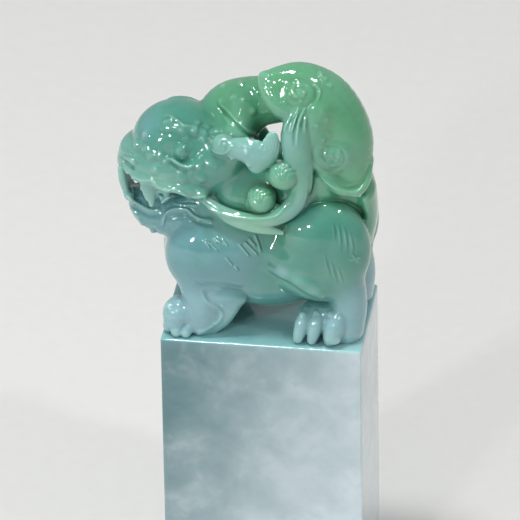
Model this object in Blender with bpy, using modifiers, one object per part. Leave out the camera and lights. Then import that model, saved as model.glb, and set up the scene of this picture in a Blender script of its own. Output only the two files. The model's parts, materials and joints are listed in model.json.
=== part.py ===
"""A jade seal: a rectangular column of jadeite with a crouching lion-dog carved on top as its knob.

The whole object is one stone. Each node here is one carved member of it, and neighbours keep a hairline
gap, so that every member is a closed solid of its own. Lengths below are millimetres; MM turns them into
metres. The beast faces -X, its left side faces -Y, and the seal's printing face rests on z = 0.
"""

from math import radians

import bmesh
import bpy
from mathutils import Euler, Matrix, Vector

MM = 0.001

# The column
SEAL_WIDTH = 30.0
SEAL_DEPTH = 19.0
SEAL_HEIGHT = 46.0
SEAL_EDGE = 0.5

# How the members meet
GAP = 0.3

# The stone that the beast is carved from has the column's ends and flanks, and the carving is set in from them
FRONT = -SEAL_WIDTH / 2
REAR = SEAL_WIDTH / 2
FLANK = SEAL_DEPTH / 2

# The head
LIP_HEIGHT = 24.0
MOUTH_OPEN = 4.0
CROWN_RADII = (6.8, 6.0)
SKULL_RADII = (8.2, 6.6)
MUZZLE_RADII = (5.0, 3.7)
EYE_RADIUS = 1.6
FANG_RADIUS = 1.1

# The mane and the tail
MANE_CURL_RADIUS = 2.05
STRAND_RADIUS = 1.75
FAN_RADIUS = 4.5
ARCH_RADIUS = 3.6
TAIL_CURL_RADIUS = 2.5

# The body and the legs
CORE = 1.0
SHOULDER_RADII = (6.6, 7.0)
SHOULDER_INSET = 0.9
HAUNCH_RADII = (7.3, 7.9)
HAUNCH_INSET = 0.7
PAW_RADIUS = 2.5
TOE_RADIUS = 0.95
CLAW_RADIUS = 1.15

JADE_GREEN = (0.16, 0.48, 0.33)
JADE_TEAL = (0.20, 0.46, 0.42)
JADE_PALE = (0.42, 0.60, 0.60)
JADE_ICE = (0.50, 0.62, 0.68)

SIDES = (("left", -1.0), ("right", 1.0))


def clear_scene():
    """Removes whatever the scene holds."""
    for obj in list(bpy.data.objects):
        bpy.data.objects.remove(obj)


def new_collection(name):
    """A new collection, linked to the scene."""
    made = bpy.data.collections.new(name)
    bpy.context.scene.collection.children.link(made)
    return made


def jade(name, colour):
    """Polished jadeite of one colour."""
    material = bpy.data.materials.new(name)
    material.use_nodes = True
    shader = material.node_tree.nodes["Principled BSDF"]
    shader.inputs["Base Color"].default_value = (*colour, 1.0)
    shader.inputs["Roughness"].default_value = 0.12
    shader.inputs["Metallic"].default_value = 0.0
    return material


def on_seal(point):
    """A place on the beast, in millimetres from the middle of the seal's top, as metres in the part's frame."""
    x, y, z = point
    return Vector((x, y, z + SEAL_HEIGHT)) * MM


def finish_mesh(obj, material, smooth_angle=40.0):
    """Gives an object its material and shades its round faces smooth."""
    obj.data.materials.clear()
    obj.data.materials.append(material)
    obj.data.shade_smooth()
    obj.data.set_sharp_from_angle(angle=radians(smooth_angle))
    return obj


def adopt(obj, collection):
    """Moves an object into a collection."""
    for old in list(obj.users_collection):
        old.objects.unlink(obj)
    collection.objects.link(obj)
    return obj


def ball(name, centre, radii, material, tilt=(0.0, 0.0, 0.0), segments=16, rings=9):
    """An ellipsoid: radii along its own axes, then turned by tilt, in degrees."""
    bpy.ops.mesh.primitive_uv_sphere_add(segments=segments, ring_count=rings, radius=1.0)
    obj = bpy.context.object
    obj.name = name
    turn = Euler([radians(a) for a in tilt]).to_matrix().to_4x4()
    obj.data.transform(turn @ Matrix.Diagonal((*[r * MM for r in radii], 1.0)))
    obj.location = on_seal(centre)
    return finish_mesh(obj, material)


def smooth_route(points, steps):
    """Points along a smooth curve through every given (x, y, z, radius), with steps points to a span."""
    rows = [Vector(p) for p in points]
    ends = [2 * rows[0] - rows[1], *rows, 2 * rows[-1] - rows[-2]]
    route = []
    for before, here, there, after in zip(ends, ends[1:], ends[2:], ends[3:]):
        for step in range(steps):
            t = step / steps
            pull = (there - before) * t + (2 * before - 5 * here + 4 * there - after) * t**2
            route.append(here + 0.5 * (pull + (3 * here - before - 3 * there + after) * t**3))
    route.append(rows[-1])
    return route


def lock(name, points, material, steps=3, flatten=(1.0, 1.0, 1.0), sides=2):
    """A tapering strand of carved hair: a tube whose radius is given at each point of its route."""
    route = smooth_route(points, steps)
    curve = bpy.data.curves.new(name, "CURVE")
    curve.dimensions = "3D"
    curve.bevel_depth = MM
    curve.bevel_resolution = sides
    curve.use_fill_caps = True
    spline = curve.splines.new("POLY")
    spline.points.add(len(route) - 1)
    for point, place in zip(spline.points, route):
        point.co = (*(Vector(place[:3]) * MM), 1.0)
        point.radius = max(place[3], 0.15)
    tube = bpy.data.objects.new(name + "_route", curve)
    bpy.context.scene.collection.objects.link(tube)
    graph = bpy.context.evaluated_depsgraph_get()
    mesh = bpy.data.meshes.new_from_object(tube.evaluated_get(graph))
    bpy.data.objects.remove(tube)
    middle = Vector([sum(p[k] for p in points) / len(points) for k in range(3)]) * MM
    scale = Matrix.Diagonal((*flatten, 1.0))
    mesh.transform(Matrix.Translation(middle) @ scale @ Matrix.Translation(-middle))
    work = bmesh.new()
    work.from_mesh(mesh)
    bmesh.ops.remove_doubles(work, verts=work.verts, dist=0.00001)
    bmesh.ops.recalc_face_normals(work, faces=work.faces)
    work.to_mesh(mesh)
    work.free()
    obj = bpy.data.objects.new(name, mesh)
    obj.location = on_seal((0.0, 0.0, 0.0))
    bpy.context.scene.collection.objects.link(obj)
    return finish_mesh(obj, material)


def joined(name, shapes, material):
    """One body from several overlapping shapes, by Boolean union."""
    base = shapes[0]
    base.name = name
    for other in shapes[1:]:
        union = base.modifiers.new("join_" + other.name, "BOOLEAN")
        union.operation = "UNION"
        union.object = other
    graph = bpy.context.evaluated_depsgraph_get()
    mesh = bpy.data.meshes.new_from_object(base.evaluated_get(graph))
    base.modifiers.clear()
    base.data = mesh
    for other in shapes[1:]:
        bpy.data.objects.remove(other)
    return finish_mesh(base, material)


def outward(side, points):
    """Points whose y is written as a distance from the middle plane, carried to the given side."""
    return [(x, side * y, *rest) for x, y, *rest in points]


def beside_core(inset):
    """The middle and the half width of a mass that fills one side, from the torso's core to inset from the flank."""
    return (CORE + FLANK - inset) / 2, (FLANK - inset - CORE) / 2


def seal_block(material):
    """The column that carries the printing face below and the beast on top."""
    bpy.ops.mesh.primitive_cube_add(size=1.0)
    obj = bpy.context.object
    obj.name = "seal_block"
    size = Matrix.Diagonal((SEAL_WIDTH * MM, SEAL_DEPTH * MM, SEAL_HEIGHT * MM, 1.0))
    obj.data.transform(size)
    obj.location = (0.0, 0.0, SEAL_HEIGHT * MM / 2)
    bevel = obj.modifiers.new("worn_edges", "BEVEL")
    bevel.width = SEAL_EDGE * MM
    bevel.segments = 3
    bevel.limit_method = "ANGLE"
    return finish_mesh(obj, material)


def fore_paw(name, side, material):
    """A round front foot on the column's corner, with three small toes under it."""
    place = (FRONT + PAW_RADIUS + 0.1, FLANK - 3.4)
    reach = (-0.5, 0.87)
    heel = (place[0], side * place[1], PAW_RADIUS - 0.2)
    shapes = [ball(name + "_heel", heel, (PAW_RADIUS, PAW_RADIUS, PAW_RADIUS), material, segments=14, rings=8)]
    for index, share in enumerate((-1.5, 0.0, 1.5)):
        x = place[0] + reach[0] * 1.6 + reach[1] * share + 0.3
        y = place[1] + reach[1] * 1.6 - reach[0] * share
        radii = (TOE_RADIUS, TOE_RADIUS, TOE_RADIUS + 0.1)
        toe = (x, side * y, TOE_RADIUS)
        shapes.append(ball(f"{name}_toe{index}", toe, radii, material, segments=10, rings=6))
    return joined(name, shapes, material)


def hind_paw(name, side, material):
    """A broad back foot with three clawed toes that turn down over the column's flank edge."""
    instep = (REAR - 5.6, side * (FLANK - 4.8), 3.2)
    shapes = [ball(name + "_instep", instep, (4.7, 2.9, 2.9), material, segments=14, rings=8)]
    for index, (inset, radius) in enumerate(((9.0, 1.0), (6.9, 0.95), (3.9, 1.4))):
        radius *= CLAW_RADIUS
        toe = [
            (REAR - inset, FLANK - 4.3, 4.2, radius),
            (REAR - inset, FLANK - 2.4, 3.3, radius),
            (REAR - inset, FLANK - 1.3, 1.5, radius * 0.75),
            (REAR - inset, FLANK - 1.0, 0.3, radius * 0.4),
        ]
        shapes.append(lock(f"{name}_toe{index}", outward(side, toe), material, steps=2, sides=2))
    return joined(name, shapes, material)


def head_members(green, teal, pale):
    """Eyes, brows, nose, teeth, tongue, ears, crown, muzzle, skull and jaw, the small ones first."""
    made = []
    jaw_height = LIP_HEIGHT - MOUTH_OPEN
    for label, side in SIDES:
        eye = (FRONT + 3.1, side * (FLANK - 4.4), 30.4)
        made.append(ball(f"{label}_eye", eye, (EYE_RADIUS,) * 3, teal, segments=10, rings=6))
        fang = [(FRONT - 1.5, FLANK - 4.8, LIP_HEIGHT, FANG_RADIUS), (FRONT - 1.7, FLANK - 4.8, jaw_height, 0.25)]
        made.append(lock(f"{label}_fang", outward(side, fang), pale, steps=2))
        whorl = (FRONT + 9.7, side * (FLANK - 3.8), 30.6 - side)
        made.append(ball(f"{label}_ear_whorl", whorl, (1.9, 1.4, 1.9), teal, segments=10, rings=6))
    for label, side in SIDES:
        brow = [
            (FRONT - 0.8, FLANK - 6.2, 31.6, 0.8),
            (FRONT + 1.6, FLANK - 5.1, 32.4, 1.2),
            (FRONT + 5.0, FLANK - 4.8, 32.4, 1.2),
            (FRONT + 7.4, FLANK - 4.0, 30.8, 0.7),
        ]
        made.append(lock(f"{label}_brow", outward(side, brow), teal, steps=2))
    left_ear = [
        (FRONT + 10.4, 4.0 - FLANK, 29.8, 1.2),
        (FRONT + 13.0, 3.2 - FLANK, 30.8, 2.0),
        (FRONT + 15.6, 2.9 - FLANK, 32.4, 2.2),
        (FRONT + 16.4, 2.9 - FLANK, 35.0, 0.5),
    ]
    made.append(lock("left_ear", left_ear, pale, flatten=(1.0, 0.75, 1.0)))
    right_ear = [
        (FRONT + 8.6, FLANK - 3.6, 29.4, 1.2),
        (FRONT + 10.8, FLANK - 2.8, 28.4, 1.8),
        (FRONT + 12.8, FLANK - 2.4, 26.8, 1.7),
        (FRONT + 14.2, FLANK - 2.5, 25.2, 0.4),
    ]
    made.append(lock("right_ear", right_ear, pale, flatten=(1.0, 0.75, 1.0)))
    made.append(ball("nose", (FRONT - 5.3, 0.0, 27.2), (1.7, 2.9, 1.9), teal, segments=14, rings=8))
    teeth = [
        (FRONT - 5.5, -1.6, jaw_height + 0.3, 0.7),
        (FRONT - 6.3, -1.2, LIP_HEIGHT + 0.6, 0.7),
    ]
    made.append(lock("front_teeth", teeth, pale, steps=2, flatten=(0.8, 2.4, 1.0)))
    tongue = (FRONT - 0.4, 0.0, jaw_height + 0.8)
    made.append(ball("tongue", tongue, (3.4, 2.3, 0.9), teal, tilt=(0.0, -12.0, 0.0), segments=12, rings=8))
    crown = (CROWN_RADII[0], FLANK - 3.3, CROWN_RADII[1])
    made.append(ball("crown", (FRONT + 2.2, 0.0, 29.4), crown, teal))
    muzzle = (MUZZLE_RADII[0], FLANK - 4.0, MUZZLE_RADII[1])
    made.append(ball("muzzle", (FRONT - 2.0, 0.0, LIP_HEIGHT + 2.4), muzzle, teal, tilt=(0.0, -8.0, 0.0)))
    skull = (SKULL_RADII[0], FLANK - 2.3, SKULL_RADII[1])
    made.append(ball("skull", (FRONT + 5.5, 0.0, 27.2), skull, teal, segments=16, rings=10))
    jaw = [
        (FRONT - 4.8, 0.0, jaw_height - 0.8, 1.5),
        (FRONT - 1.8, 0.0, jaw_height - 2.7, 3.4),
        (FRONT + 2.6, 0.0, jaw_height - 2.2, 4.2),
        (FRONT + 6.0, 0.0, jaw_height - 0.6, 3.6),
    ]
    made.append(lock("lower_jaw", jaw, pale, flatten=(1.0, 1.35, 1.0)))
    return made


def mane_members(green, teal, pale):
    """The round curls and the long strands that hang behind the jaws on both sides."""
    made = []
    curls = {
        "left": ((FRONT + 15.2, 24.2), (FRONT + 18.0, 27.7)),
        "right": ((FRONT + 15.0, 23.4), (FRONT + 18.6, 25.4)),
    }
    for label, side in SIDES:
        for place, (x, z) in zip(("front", "rear"), curls[label]):
            name = f"{label}_mane_curl_{place}"
            made.append(ball(name, (x, side * (FLANK - 2.8), z), (MANE_CURL_RADIUS,) * 3, green, segments=10, rings=6))
        beard = [
            (FRONT + 8.0, FLANK - 2.3, 20.6, 0.9),
            (FRONT + 11.0, FLANK - 1.7, 19.8, 1.3),
            (FRONT + 14.6, FLANK - 1.4, 18.8, 1.2),
            (FRONT + 18.4, FLANK - 1.4, 18.8, 0.3),
        ]
        made.append(lock(f"{label}_beard_lock", outward(side, beard), green, steps=2))
        strand = [
            (FRONT + 7.0, FLANK - 2.5, 23.0, 0.7),
            (FRONT + 10.0, FLANK - 1.8, 21.6, 1.2),
            (FRONT + 14.0, FLANK - 1.6, 20.9, 1.5),
            (FRONT + 17.8, FLANK - 1.8, 22.0, STRAND_RADIUS),
            (FRONT + 20.3, FLANK - 2.2, 25.0, STRAND_RADIUS),
            (REAR - 8.9, FLANK - 3.0, 29.5, STRAND_RADIUS),
            (REAR - 9.4, FLANK - 3.8, 34.0, STRAND_RADIUS),
            (REAR - 9.0, FLANK - 4.3, 37.6, 1.3),
        ]
        made.append(lock(f"{label}_mane_strand", outward(side, strand), teal, steps=2))
    return made


def tail_members(green, teal, pale):
    """The bushy tail, which rises from the rump, curls over the back and leaves a cord hole below it."""
    curl = (TAIL_CURL_RADIUS, 1.8, TAIL_CURL_RADIUS)
    made = [
        ball("tail_top_curl", (REAR - 8.8, 4.6 - FLANK, 40.4), curl, green, segments=12, rings=7),
        ball("tail_side_curl", (REAR - 4.8, 4.7 - FLANK, 31.4), curl, green, segments=12, rings=7),
    ]
    fan = [
        (REAR - 0.8, -3.6, 24.3, 0.8),
        (REAR - 3.0, -1.6, 27.6, 3.8),
        (REAR - 4.4, -0.8, 32.0, FAN_RADIUS + 0.5),
        (REAR - 6.2, -0.6, 37.2, FAN_RADIUS),
        (REAR - 10.2, -1.2, 40.4, 3.5),
        (REAR - 14.8, -3.0, 43.9, 0.6),
    ]
    made.append(lock("tail_fan", fan, green, sides=3))
    arch = [
        (REAR - 10.0, 3.2, 36.6, 2.9),
        (REAR - 13.5, 3.4, 36.0, 3.1),
        (REAR - 17.5, 3.8, 34.2, ARCH_RADIUS),
        (FRONT + 9.2, 4.2, 33.2, ARCH_RADIUS),
        (FRONT + 7.2, 4.0, 30.6, 2.9),
    ]
    made.append(lock("tail_arch", arch, green))
    root = [
        (REAR - 3.6, 3.4, 12.0, 3.4),
        (REAR - 2.6, 4.6, 17.0, 3.6),
        (REAR - 4.0, 4.0, 23.0, 4.6),
        (REAR - 5.6, 3.2, 28.0, 4.4),
        (REAR - 6.4, 3.0, 34.0, 2.6),
    ]
    made.append(lock("tail_root", root, green, sides=3))
    return made


def body_members(green, teal, pale):
    """Legs first, then the neck, the chest and the torso, which takes the room they leave."""
    made = []
    for label, side in SIDES:
        made.append(fore_paw(f"{label}_fore_paw", side, pale))
        made.append(hind_paw(f"{label}_hind_paw", side, pale))
    for label, side in SIDES:
        tuft = [
            (FRONT + 7.0, FLANK - 2.4, 8.6, 0.9),
            (FRONT + 9.2, FLANK - 1.8, 7.4, 1.7),
            (FRONT + 12.2, FLANK - 1.8, 6.8, 0.3),
        ]
        made.append(lock(f"{label}_elbow_tuft", outward(side, tuft), pale, flatten=(1.0, 0.7, 1.0)))
        forearm = [
            (FRONT + 9.2, FLANK - 3.9, 8.0, 2.8),
            (FRONT + 7.8, FLANK - 3.4, 4.6, 2.7),
            (FRONT + 5.7, FLANK - 3.2, 2.0, 2.3),
        ]
        made.append(lock(f"{label}_forearm", outward(side, forearm), pale))
        out, half = beside_core(HAUNCH_INSET)
        haunch = (HAUNCH_RADII[0], half, HAUNCH_RADII[1])
        made.append(ball(f"{label}_haunch", (REAR - 6.7, side * out, 14.4), haunch, teal, rings=10))
        out, half = beside_core(SHOULDER_INSET)
        shoulder = (SHOULDER_RADII[0], half, SHOULDER_RADII[1])
        made.append(ball(f"{label}_shoulder", (FRONT + 7.4, side * out, 11.8), shoulder, teal, rings=10))
        shank = [
            (REAR - 3.0, FLANK - 4.9, 9.2, 2.6),
            (REAR - 2.7, FLANK - 4.6, 5.4, 2.6),
            (REAR - 3.2, FLANK - 4.4, 2.4, 2.7),
        ]
        made.append(lock(f"{label}_shank", outward(side, shank), pale))
    middle = (FRONT + REAR) / 2
    made.append(ball("neck", (middle - 3.2, 0.0, 21.6), (REAR - 7.2, FLANK - 3.4, 7.0), teal, segments=16, rings=9))
    made.append(ball("chest", (FRONT + 5.4, 0.0, 11.2), (6.2, FLANK - 3.1, 8.2), pale, segments=16, rings=9))
    torso = (REAR - 2.4, FLANK - 2.5, 9.3)
    made.append(ball("torso", (middle + 1.2, 0.0, 11.9), torso, teal, tilt=(0.0, -3.0, 0.0), segments=20, rings=11))
    return made


def outline_overlap(first, second):
    """True if the two objects' boxes come within the gap of each other."""
    boxes = []
    for obj in (first, second):
        corners = [obj.matrix_world @ Vector(c) for c in obj.bound_box]
        boxes.append([(min(c[k] for c in corners), max(c[k] for c in corners)) for k in range(3)])
    reach = 2 * GAP * MM
    return all(a[0] < b[1] + reach and b[0] < a[1] + reach for a, b in zip(*boxes))


def grown_copy(obj, cutters):
    """A copy of a member, swollen by the gap, which cuts the members that come after it."""
    grown = bpy.data.objects.new(obj.name + "_room", obj.data.copy())
    grown.matrix_world = obj.matrix_world
    swell = grown.modifiers.new("gap", "DISPLACE")
    swell.mid_level = 0.0
    swell.strength = GAP * MM
    grown.hide_render = True
    grown.display_type = "WIRE"
    cutters.objects.link(grown)
    return grown


def fit_together(members, cutters):
    """Cuts each member back from every one before it in the list, so that no two overlap."""
    bpy.context.view_layer.update()
    grown = {obj.name: grown_copy(obj, cutters) for obj in members}
    bpy.context.view_layer.update()
    for place, obj in enumerate(members):
        for earlier in reversed(members[:place]):
            if not outline_overlap(obj, grown[earlier.name]):
                continue
            cut = obj.modifiers.new("clear_" + earlier.name, "BOOLEAN")
            cut.operation = "DIFFERENCE"
            cut.object = grown[earlier.name]


def top_cutter(cutters):
    """A slab with the seal's top in it, which trims the beast's feet flat just above the column."""
    bpy.ops.mesh.primitive_cube_add(size=1.0)
    slab = bpy.context.object
    slab.name = "top_room"
    depth = 10.0
    slab.data.transform(Matrix.Diagonal((80.0 * MM, 80.0 * MM, depth * MM, 1.0)))
    slab.location = on_seal((0.0, 0.0, GAP - depth / 2))
    slab.hide_render = True
    slab.display_type = "WIRE"
    return adopt(slab, cutters)


def main():
    clear_scene()
    model = new_collection("jade_seal")
    cutters = new_collection("cutters")
    green = jade("jade_green", JADE_GREEN)
    teal = jade("jade_teal", JADE_TEAL)
    pale = jade("jade_pale", JADE_PALE)
    block = adopt(seal_block(jade("jade_ice", JADE_ICE)), model)
    members = [
        *head_members(green, teal, pale),
        *mane_members(green, teal, pale),
        *tail_members(green, teal, pale),
        *body_members(green, teal, pale),
    ]
    for obj in members:
        adopt(obj, model)
    fit_together(members, cutters)
    slab = top_cutter(cutters)
    bpy.context.view_layer.update()
    for obj in members:
        if not outline_overlap(obj, slab):
            continue
        trim = obj.modifiers.new("stand_on_seal", "BOOLEAN")
        trim.operation = "DIFFERENCE"
        trim.object = slab


if __name__ == "__main__":
    main()
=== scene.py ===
"""Looks of a jade seal: a guardian lion-dog carved on top of a square-edged column of jadeite.

The beast is made the way a carver works. Its masses are laid down in a block of small voxels, each as the
distance to its surface, and melted into each other. Hollows are cut, hair is engraved, and the block is
parted along the natural creases into one closed mesh for each carved member, which takes the place of the
member's plain solid in the frame. Lengths are in millimetres, and places are measured from the middle of
the column's top face: +X to the tail, +Z up, and out is the distance from the middle plane to either side.
"""

import json
import logging
import math
from dataclasses import dataclass, field
from enum import Enum
from typing import Any, Iterable, Sequence

import bmesh
import bpy
import numpy as np
import openvdb
from mathutils import Euler, Matrix, Vector

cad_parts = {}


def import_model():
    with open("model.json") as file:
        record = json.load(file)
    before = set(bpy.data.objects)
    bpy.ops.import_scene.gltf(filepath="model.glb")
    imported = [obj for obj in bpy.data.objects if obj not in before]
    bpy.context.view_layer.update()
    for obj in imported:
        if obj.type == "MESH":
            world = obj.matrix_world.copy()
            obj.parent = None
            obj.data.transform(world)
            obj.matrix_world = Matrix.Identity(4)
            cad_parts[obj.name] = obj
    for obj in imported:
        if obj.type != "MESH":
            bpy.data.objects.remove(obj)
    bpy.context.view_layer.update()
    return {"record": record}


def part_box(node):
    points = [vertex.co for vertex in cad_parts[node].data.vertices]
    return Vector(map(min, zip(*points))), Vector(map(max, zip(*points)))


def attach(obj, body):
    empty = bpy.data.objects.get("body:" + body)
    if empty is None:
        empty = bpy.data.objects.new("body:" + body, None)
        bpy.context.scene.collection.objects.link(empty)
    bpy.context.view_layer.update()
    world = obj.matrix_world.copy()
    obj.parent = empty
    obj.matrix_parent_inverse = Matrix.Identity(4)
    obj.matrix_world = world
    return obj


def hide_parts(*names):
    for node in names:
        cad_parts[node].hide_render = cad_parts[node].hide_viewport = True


LOG = logging.getLogger("jade_seal")
MM = 0.001
SMALL = 1e-6
TINY = 1e-9

# The block of voxels: its corners, its voxel sizes, and the height at which the paws are cut off flat.
BLOCK_LOW = (-23.5, -10.2, -0.6)
BLOCK_HIGH = (17.6, 10.2, 45.0)
FINE_STEP = 0.14
SOLE = -0.2

# Distances: the one that stands for far outside, and how far round a shape they are worked out.
FAR = 9.0
REACH = 3.0

# The radius that a strand keeps at its thinnest.
HAIR = 0.05

# The direction that the engraver's tool comes from, in degrees round the seal and above the horizon.
TOOL_TURN = 8.7
TOOL_RISE = 32.4

JADE_IOR = 1.66

Value = Any
Place = tuple[float, float, float]
Colour = tuple[float, float, float, float]
Route = Sequence[Sequence[float]]
Window = tuple[slice, slice, slice]


class Side(Enum):
    """The beast's two sides, as the sign of Y."""

    LEFT = -1
    RIGHT = 1

    @property
    def label(self) -> str:
        """The word that starts the names of this side's members."""
        return self.name.lower()

    def at(self, points: Iterable[Sequence[float]]) -> list[tuple[float, ...]]:
        """Carries points to this side.

        Args:
            points: Rows that start with x, the distance out from the middle plane, and z.

        Returns:
            The rows with y in place of the distance out.
        """
        return [(p[0], self.value * p[1], *p[2:]) for p in points]

    def spot(self, place: Sequence[float]) -> Place:
        """Carries one place to this side."""
        return (place[0], self.value * place[1], place[2])

    def tool(self) -> np.ndarray:
        """The carver's view of this side.

        Returns:
            The directions right, up and towards the carver, as rows.
        """
        turn, rise = math.radians(TOOL_TURN), math.radians(TOOL_RISE)
        back = np.array((math.sin(turn) * math.cos(rise), -math.cos(turn) * math.cos(rise), math.sin(rise)))
        right = np.array((math.cos(turn), math.sin(turn), 0.0))
        rows = np.array((right, np.cross(back, right), back))
        rows[:, 1] *= -self.value
        return rows


class Shade(Enum):
    """The stone's colours, as they look in daylight, in red, green and blue from 0 to 255."""

    FROST = (114, 166, 160)
    MIST = (124, 163, 171)
    SLATE = (92, 142, 148)
    SEA = (101, 154, 143)
    TEAL = (66, 135, 119)
    DEEP = (36, 108, 86)
    GREEN = (80, 148, 108)
    SPRING = (140, 188, 152)

    @property
    def linear(self) -> np.ndarray:
        """The colour in linear light, from 0 to 1."""
        share = np.array(self.value) / 255
        return np.where(share <= 0.04045, share / 12.92, ((share + 0.055) / 1.055) ** 2.4)


def melt(first: np.ndarray, second: np.ndarray, softness: float) -> np.ndarray:
    """Joins two distance fields with a soft fillet.

    Args:
        first: Distances to one shape.
        second: Distances to the other shape.
        softness: How far from their crease the shapes start to run together.

    Returns:
        The distances to the joined shape.
    """
    if softness <= 0:
        return np.minimum(first, second)
    near = np.maximum(softness - np.abs(first - second), 0)
    return np.minimum(first, second) - near * near * (0.25 / softness)


def smooth_route(points: Route, steps: int) -> np.ndarray:
    """Follows a smooth curve through points.

    Args:
        points: Rows of numbers, such as x, y, z and radius.
        steps: How many places to give between two points.

    Returns:
        The places as rows of an array.
    """
    rows = np.array(points, float)
    ends = np.vstack([2 * rows[0] - rows[1], rows, 2 * rows[-1] - rows[-2]])
    route = []
    for before, here, there, after in zip(ends, ends[1:], ends[2:], ends[3:]):
        for t in np.arange(steps) / steps:
            pull = (there - before) * t + (2 * before - 5 * here + 4 * there - after) * t**2
            route.append(here + 0.5 * (pull + (3 * here - before - 3 * there + after) * t**3))
    route.append(rows[-1])
    return np.array(route)


def moved(points: Route, along: float, up: float = 0.0) -> list[tuple[float, ...]]:
    """Moves an engraved line sideways, for the ridge or groove that runs beside it.

    Args:
        points: The line, as rows that start with x, out and z.
        along: How far it is moved along X.
        up: How far it is moved along Z.

    Returns:
        The moved rows.
    """
    return [(x + along, out, z + up, *rest) for x, out, z, *rest in points]


@dataclass
class Block:
    """The block of voxels that the beast is carved from.

    Attributes:
        low: The lowest corner.
        high: The highest corner.
        step: The size of a voxel.
        axes: Where the voxels are along X, Y and Z.
    """

    low: Place
    high: Place
    step: float
    axes: list[np.ndarray] = field(init=False)

    def __post_init__(self) -> None:
        """Works out where the voxels are."""
        self.axes = [
            np.arange(low, high + self.step, self.step, dtype=np.float32) for low, high in zip(self.low, self.high)
        ]

    @property
    def shape(self) -> tuple[int, ...]:
        """The number of voxels along each axis."""
        return tuple(len(axis) for axis in self.axes)

    def window(self, low: Sequence[float], high: Sequence[float]) -> Window:
        """Finds the voxels within two corners.

        Args:
            low: The lowest corner.
            high: The highest corner.

        Returns:
            A slice along each axis, with at least one voxel in it.
        """
        found = []
        for axis, start, end in zip(self.axes, low, high):
            first = int(np.clip(np.searchsorted(axis, start), 0, len(axis) - 1))
            last = int(np.clip(np.searchsorted(axis, end), first + 1, len(axis)))
            found.append(slice(first, last))
        return tuple(found)

    def places(self, window: Window) -> tuple[np.ndarray, np.ndarray, np.ndarray]:
        """The x, y and z of a window's voxels, ready to broadcast."""
        x, y, z = (axis[part] for axis, part in zip(self.axes, window))
        return x[:, None, None], y[None, :, None], z[None, None, :]


@dataclass
class Stroke:
    """One shape laid down in the block: distances within a window.

    Attributes:
        window: The voxels that it reaches.
        distance: The distance from each of them to the shape, negative inside it.
        softness: How softly it runs into what is under it.
    """

    window: Window
    distance: np.ndarray
    softness: float


def ball_stroke(block: Block, centre: Place, radii: Place, turn: Place, softness: float) -> Stroke:
    """An ellipsoid.

    Args:
        block: The block that it is laid in.
        centre: Its middle.
        radii: Its half sizes along its own axes.
        turn: Its rotation about X, Y and Z, in degrees.
        softness: How softly it runs into what is under it.

    Returns:
        The stroke.
    """
    reach = max(radii) + REACH
    window = block.window([c - reach for c in centre], [c + reach for c in centre])
    x, y, z = block.places(window)
    x, y, z = x - centre[0], y - centre[1], z - centre[2]
    rows = np.array(Euler([math.radians(a) for a in turn]).to_matrix().transposed())
    near, far = 0.0, 0.0
    for row, radius in zip(rows, radii):
        along = (row[0] * x + row[1] * y + row[2] * z).astype(np.float32) / np.float32(radius)
        near = near + along * along
        far = far + (along / np.float32(radius)) ** 2
    near, far = np.sqrt(near), np.sqrt(far)
    return Stroke(window, near * (near - 1) / np.maximum(far, SMALL), softness)


def strand_stroke(block: Block, points: Route, flat: Place, softness: float, steps: int) -> Stroke:
    """A tapering strand along a smooth route.

    Args:
        block: The block that it is laid in.
        points: Its route, as rows of x, y, z and radius.
        flat: What its cross-section is scaled by along X, Y and Z.
        softness: How softly it runs into what is under it.
        steps: How many straight lengths each span of the route is cut into.

    Returns:
        The stroke.
    """
    route = smooth_route(points, steps)
    route[:, 3] = np.maximum(route[:, 3], HAIR)
    scale = np.array(flat, float)
    girth = route[:, 3:4] * scale
    window = block.window((route[:, :3] - girth).min(0) - REACH, (route[:, :3] + girth).max(0) + REACH)
    distance = np.full(tuple(part.stop - part.start for part in window), FAR, np.float32)
    for start, end in zip(route[:-1], route[1:]):
        low = np.minimum(start[:3] - start[3] * scale, end[:3] - end[3] * scale) - REACH
        high = np.maximum(start[:3] + start[3] * scale, end[:3] + end[3] * scale) + REACH
        inner = block.window(low, high)
        x, y, z = (
            (axis - float(place)) / np.float32(size)
            for axis, place, size in zip(block.places(inner), start[:3], scale)
        )
        span = (end[:3] - start[:3]) / scale
        along = x * np.float32(span[0]) + y * np.float32(span[1]) + z * np.float32(span[2])
        along = np.clip(along / np.float32(max(span @ span, TINY)), 0, 1)
        x, y, z = (axis - along * np.float32(part) for axis, part in zip((x, y, z), span))
        length = np.sqrt(x * x + y * y + z * z)
        true = length - (np.float32(start[3]) + along * np.float32(end[3] - start[3]))
        if min(flat) != max(flat):
            stretched = np.sqrt((x / scale[0]) ** 2 + (y / scale[1]) ** 2 + (z / scale[2]) ** 2).astype(np.float32)
            true = true * length / np.maximum(stretched, SMALL)
        part = tuple(slice(i.start - w.start, i.stop - w.start) for i, w in zip(inner, window))
        distance[part] = np.minimum(distance[part], true)
    return Stroke(window, distance, softness)


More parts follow.
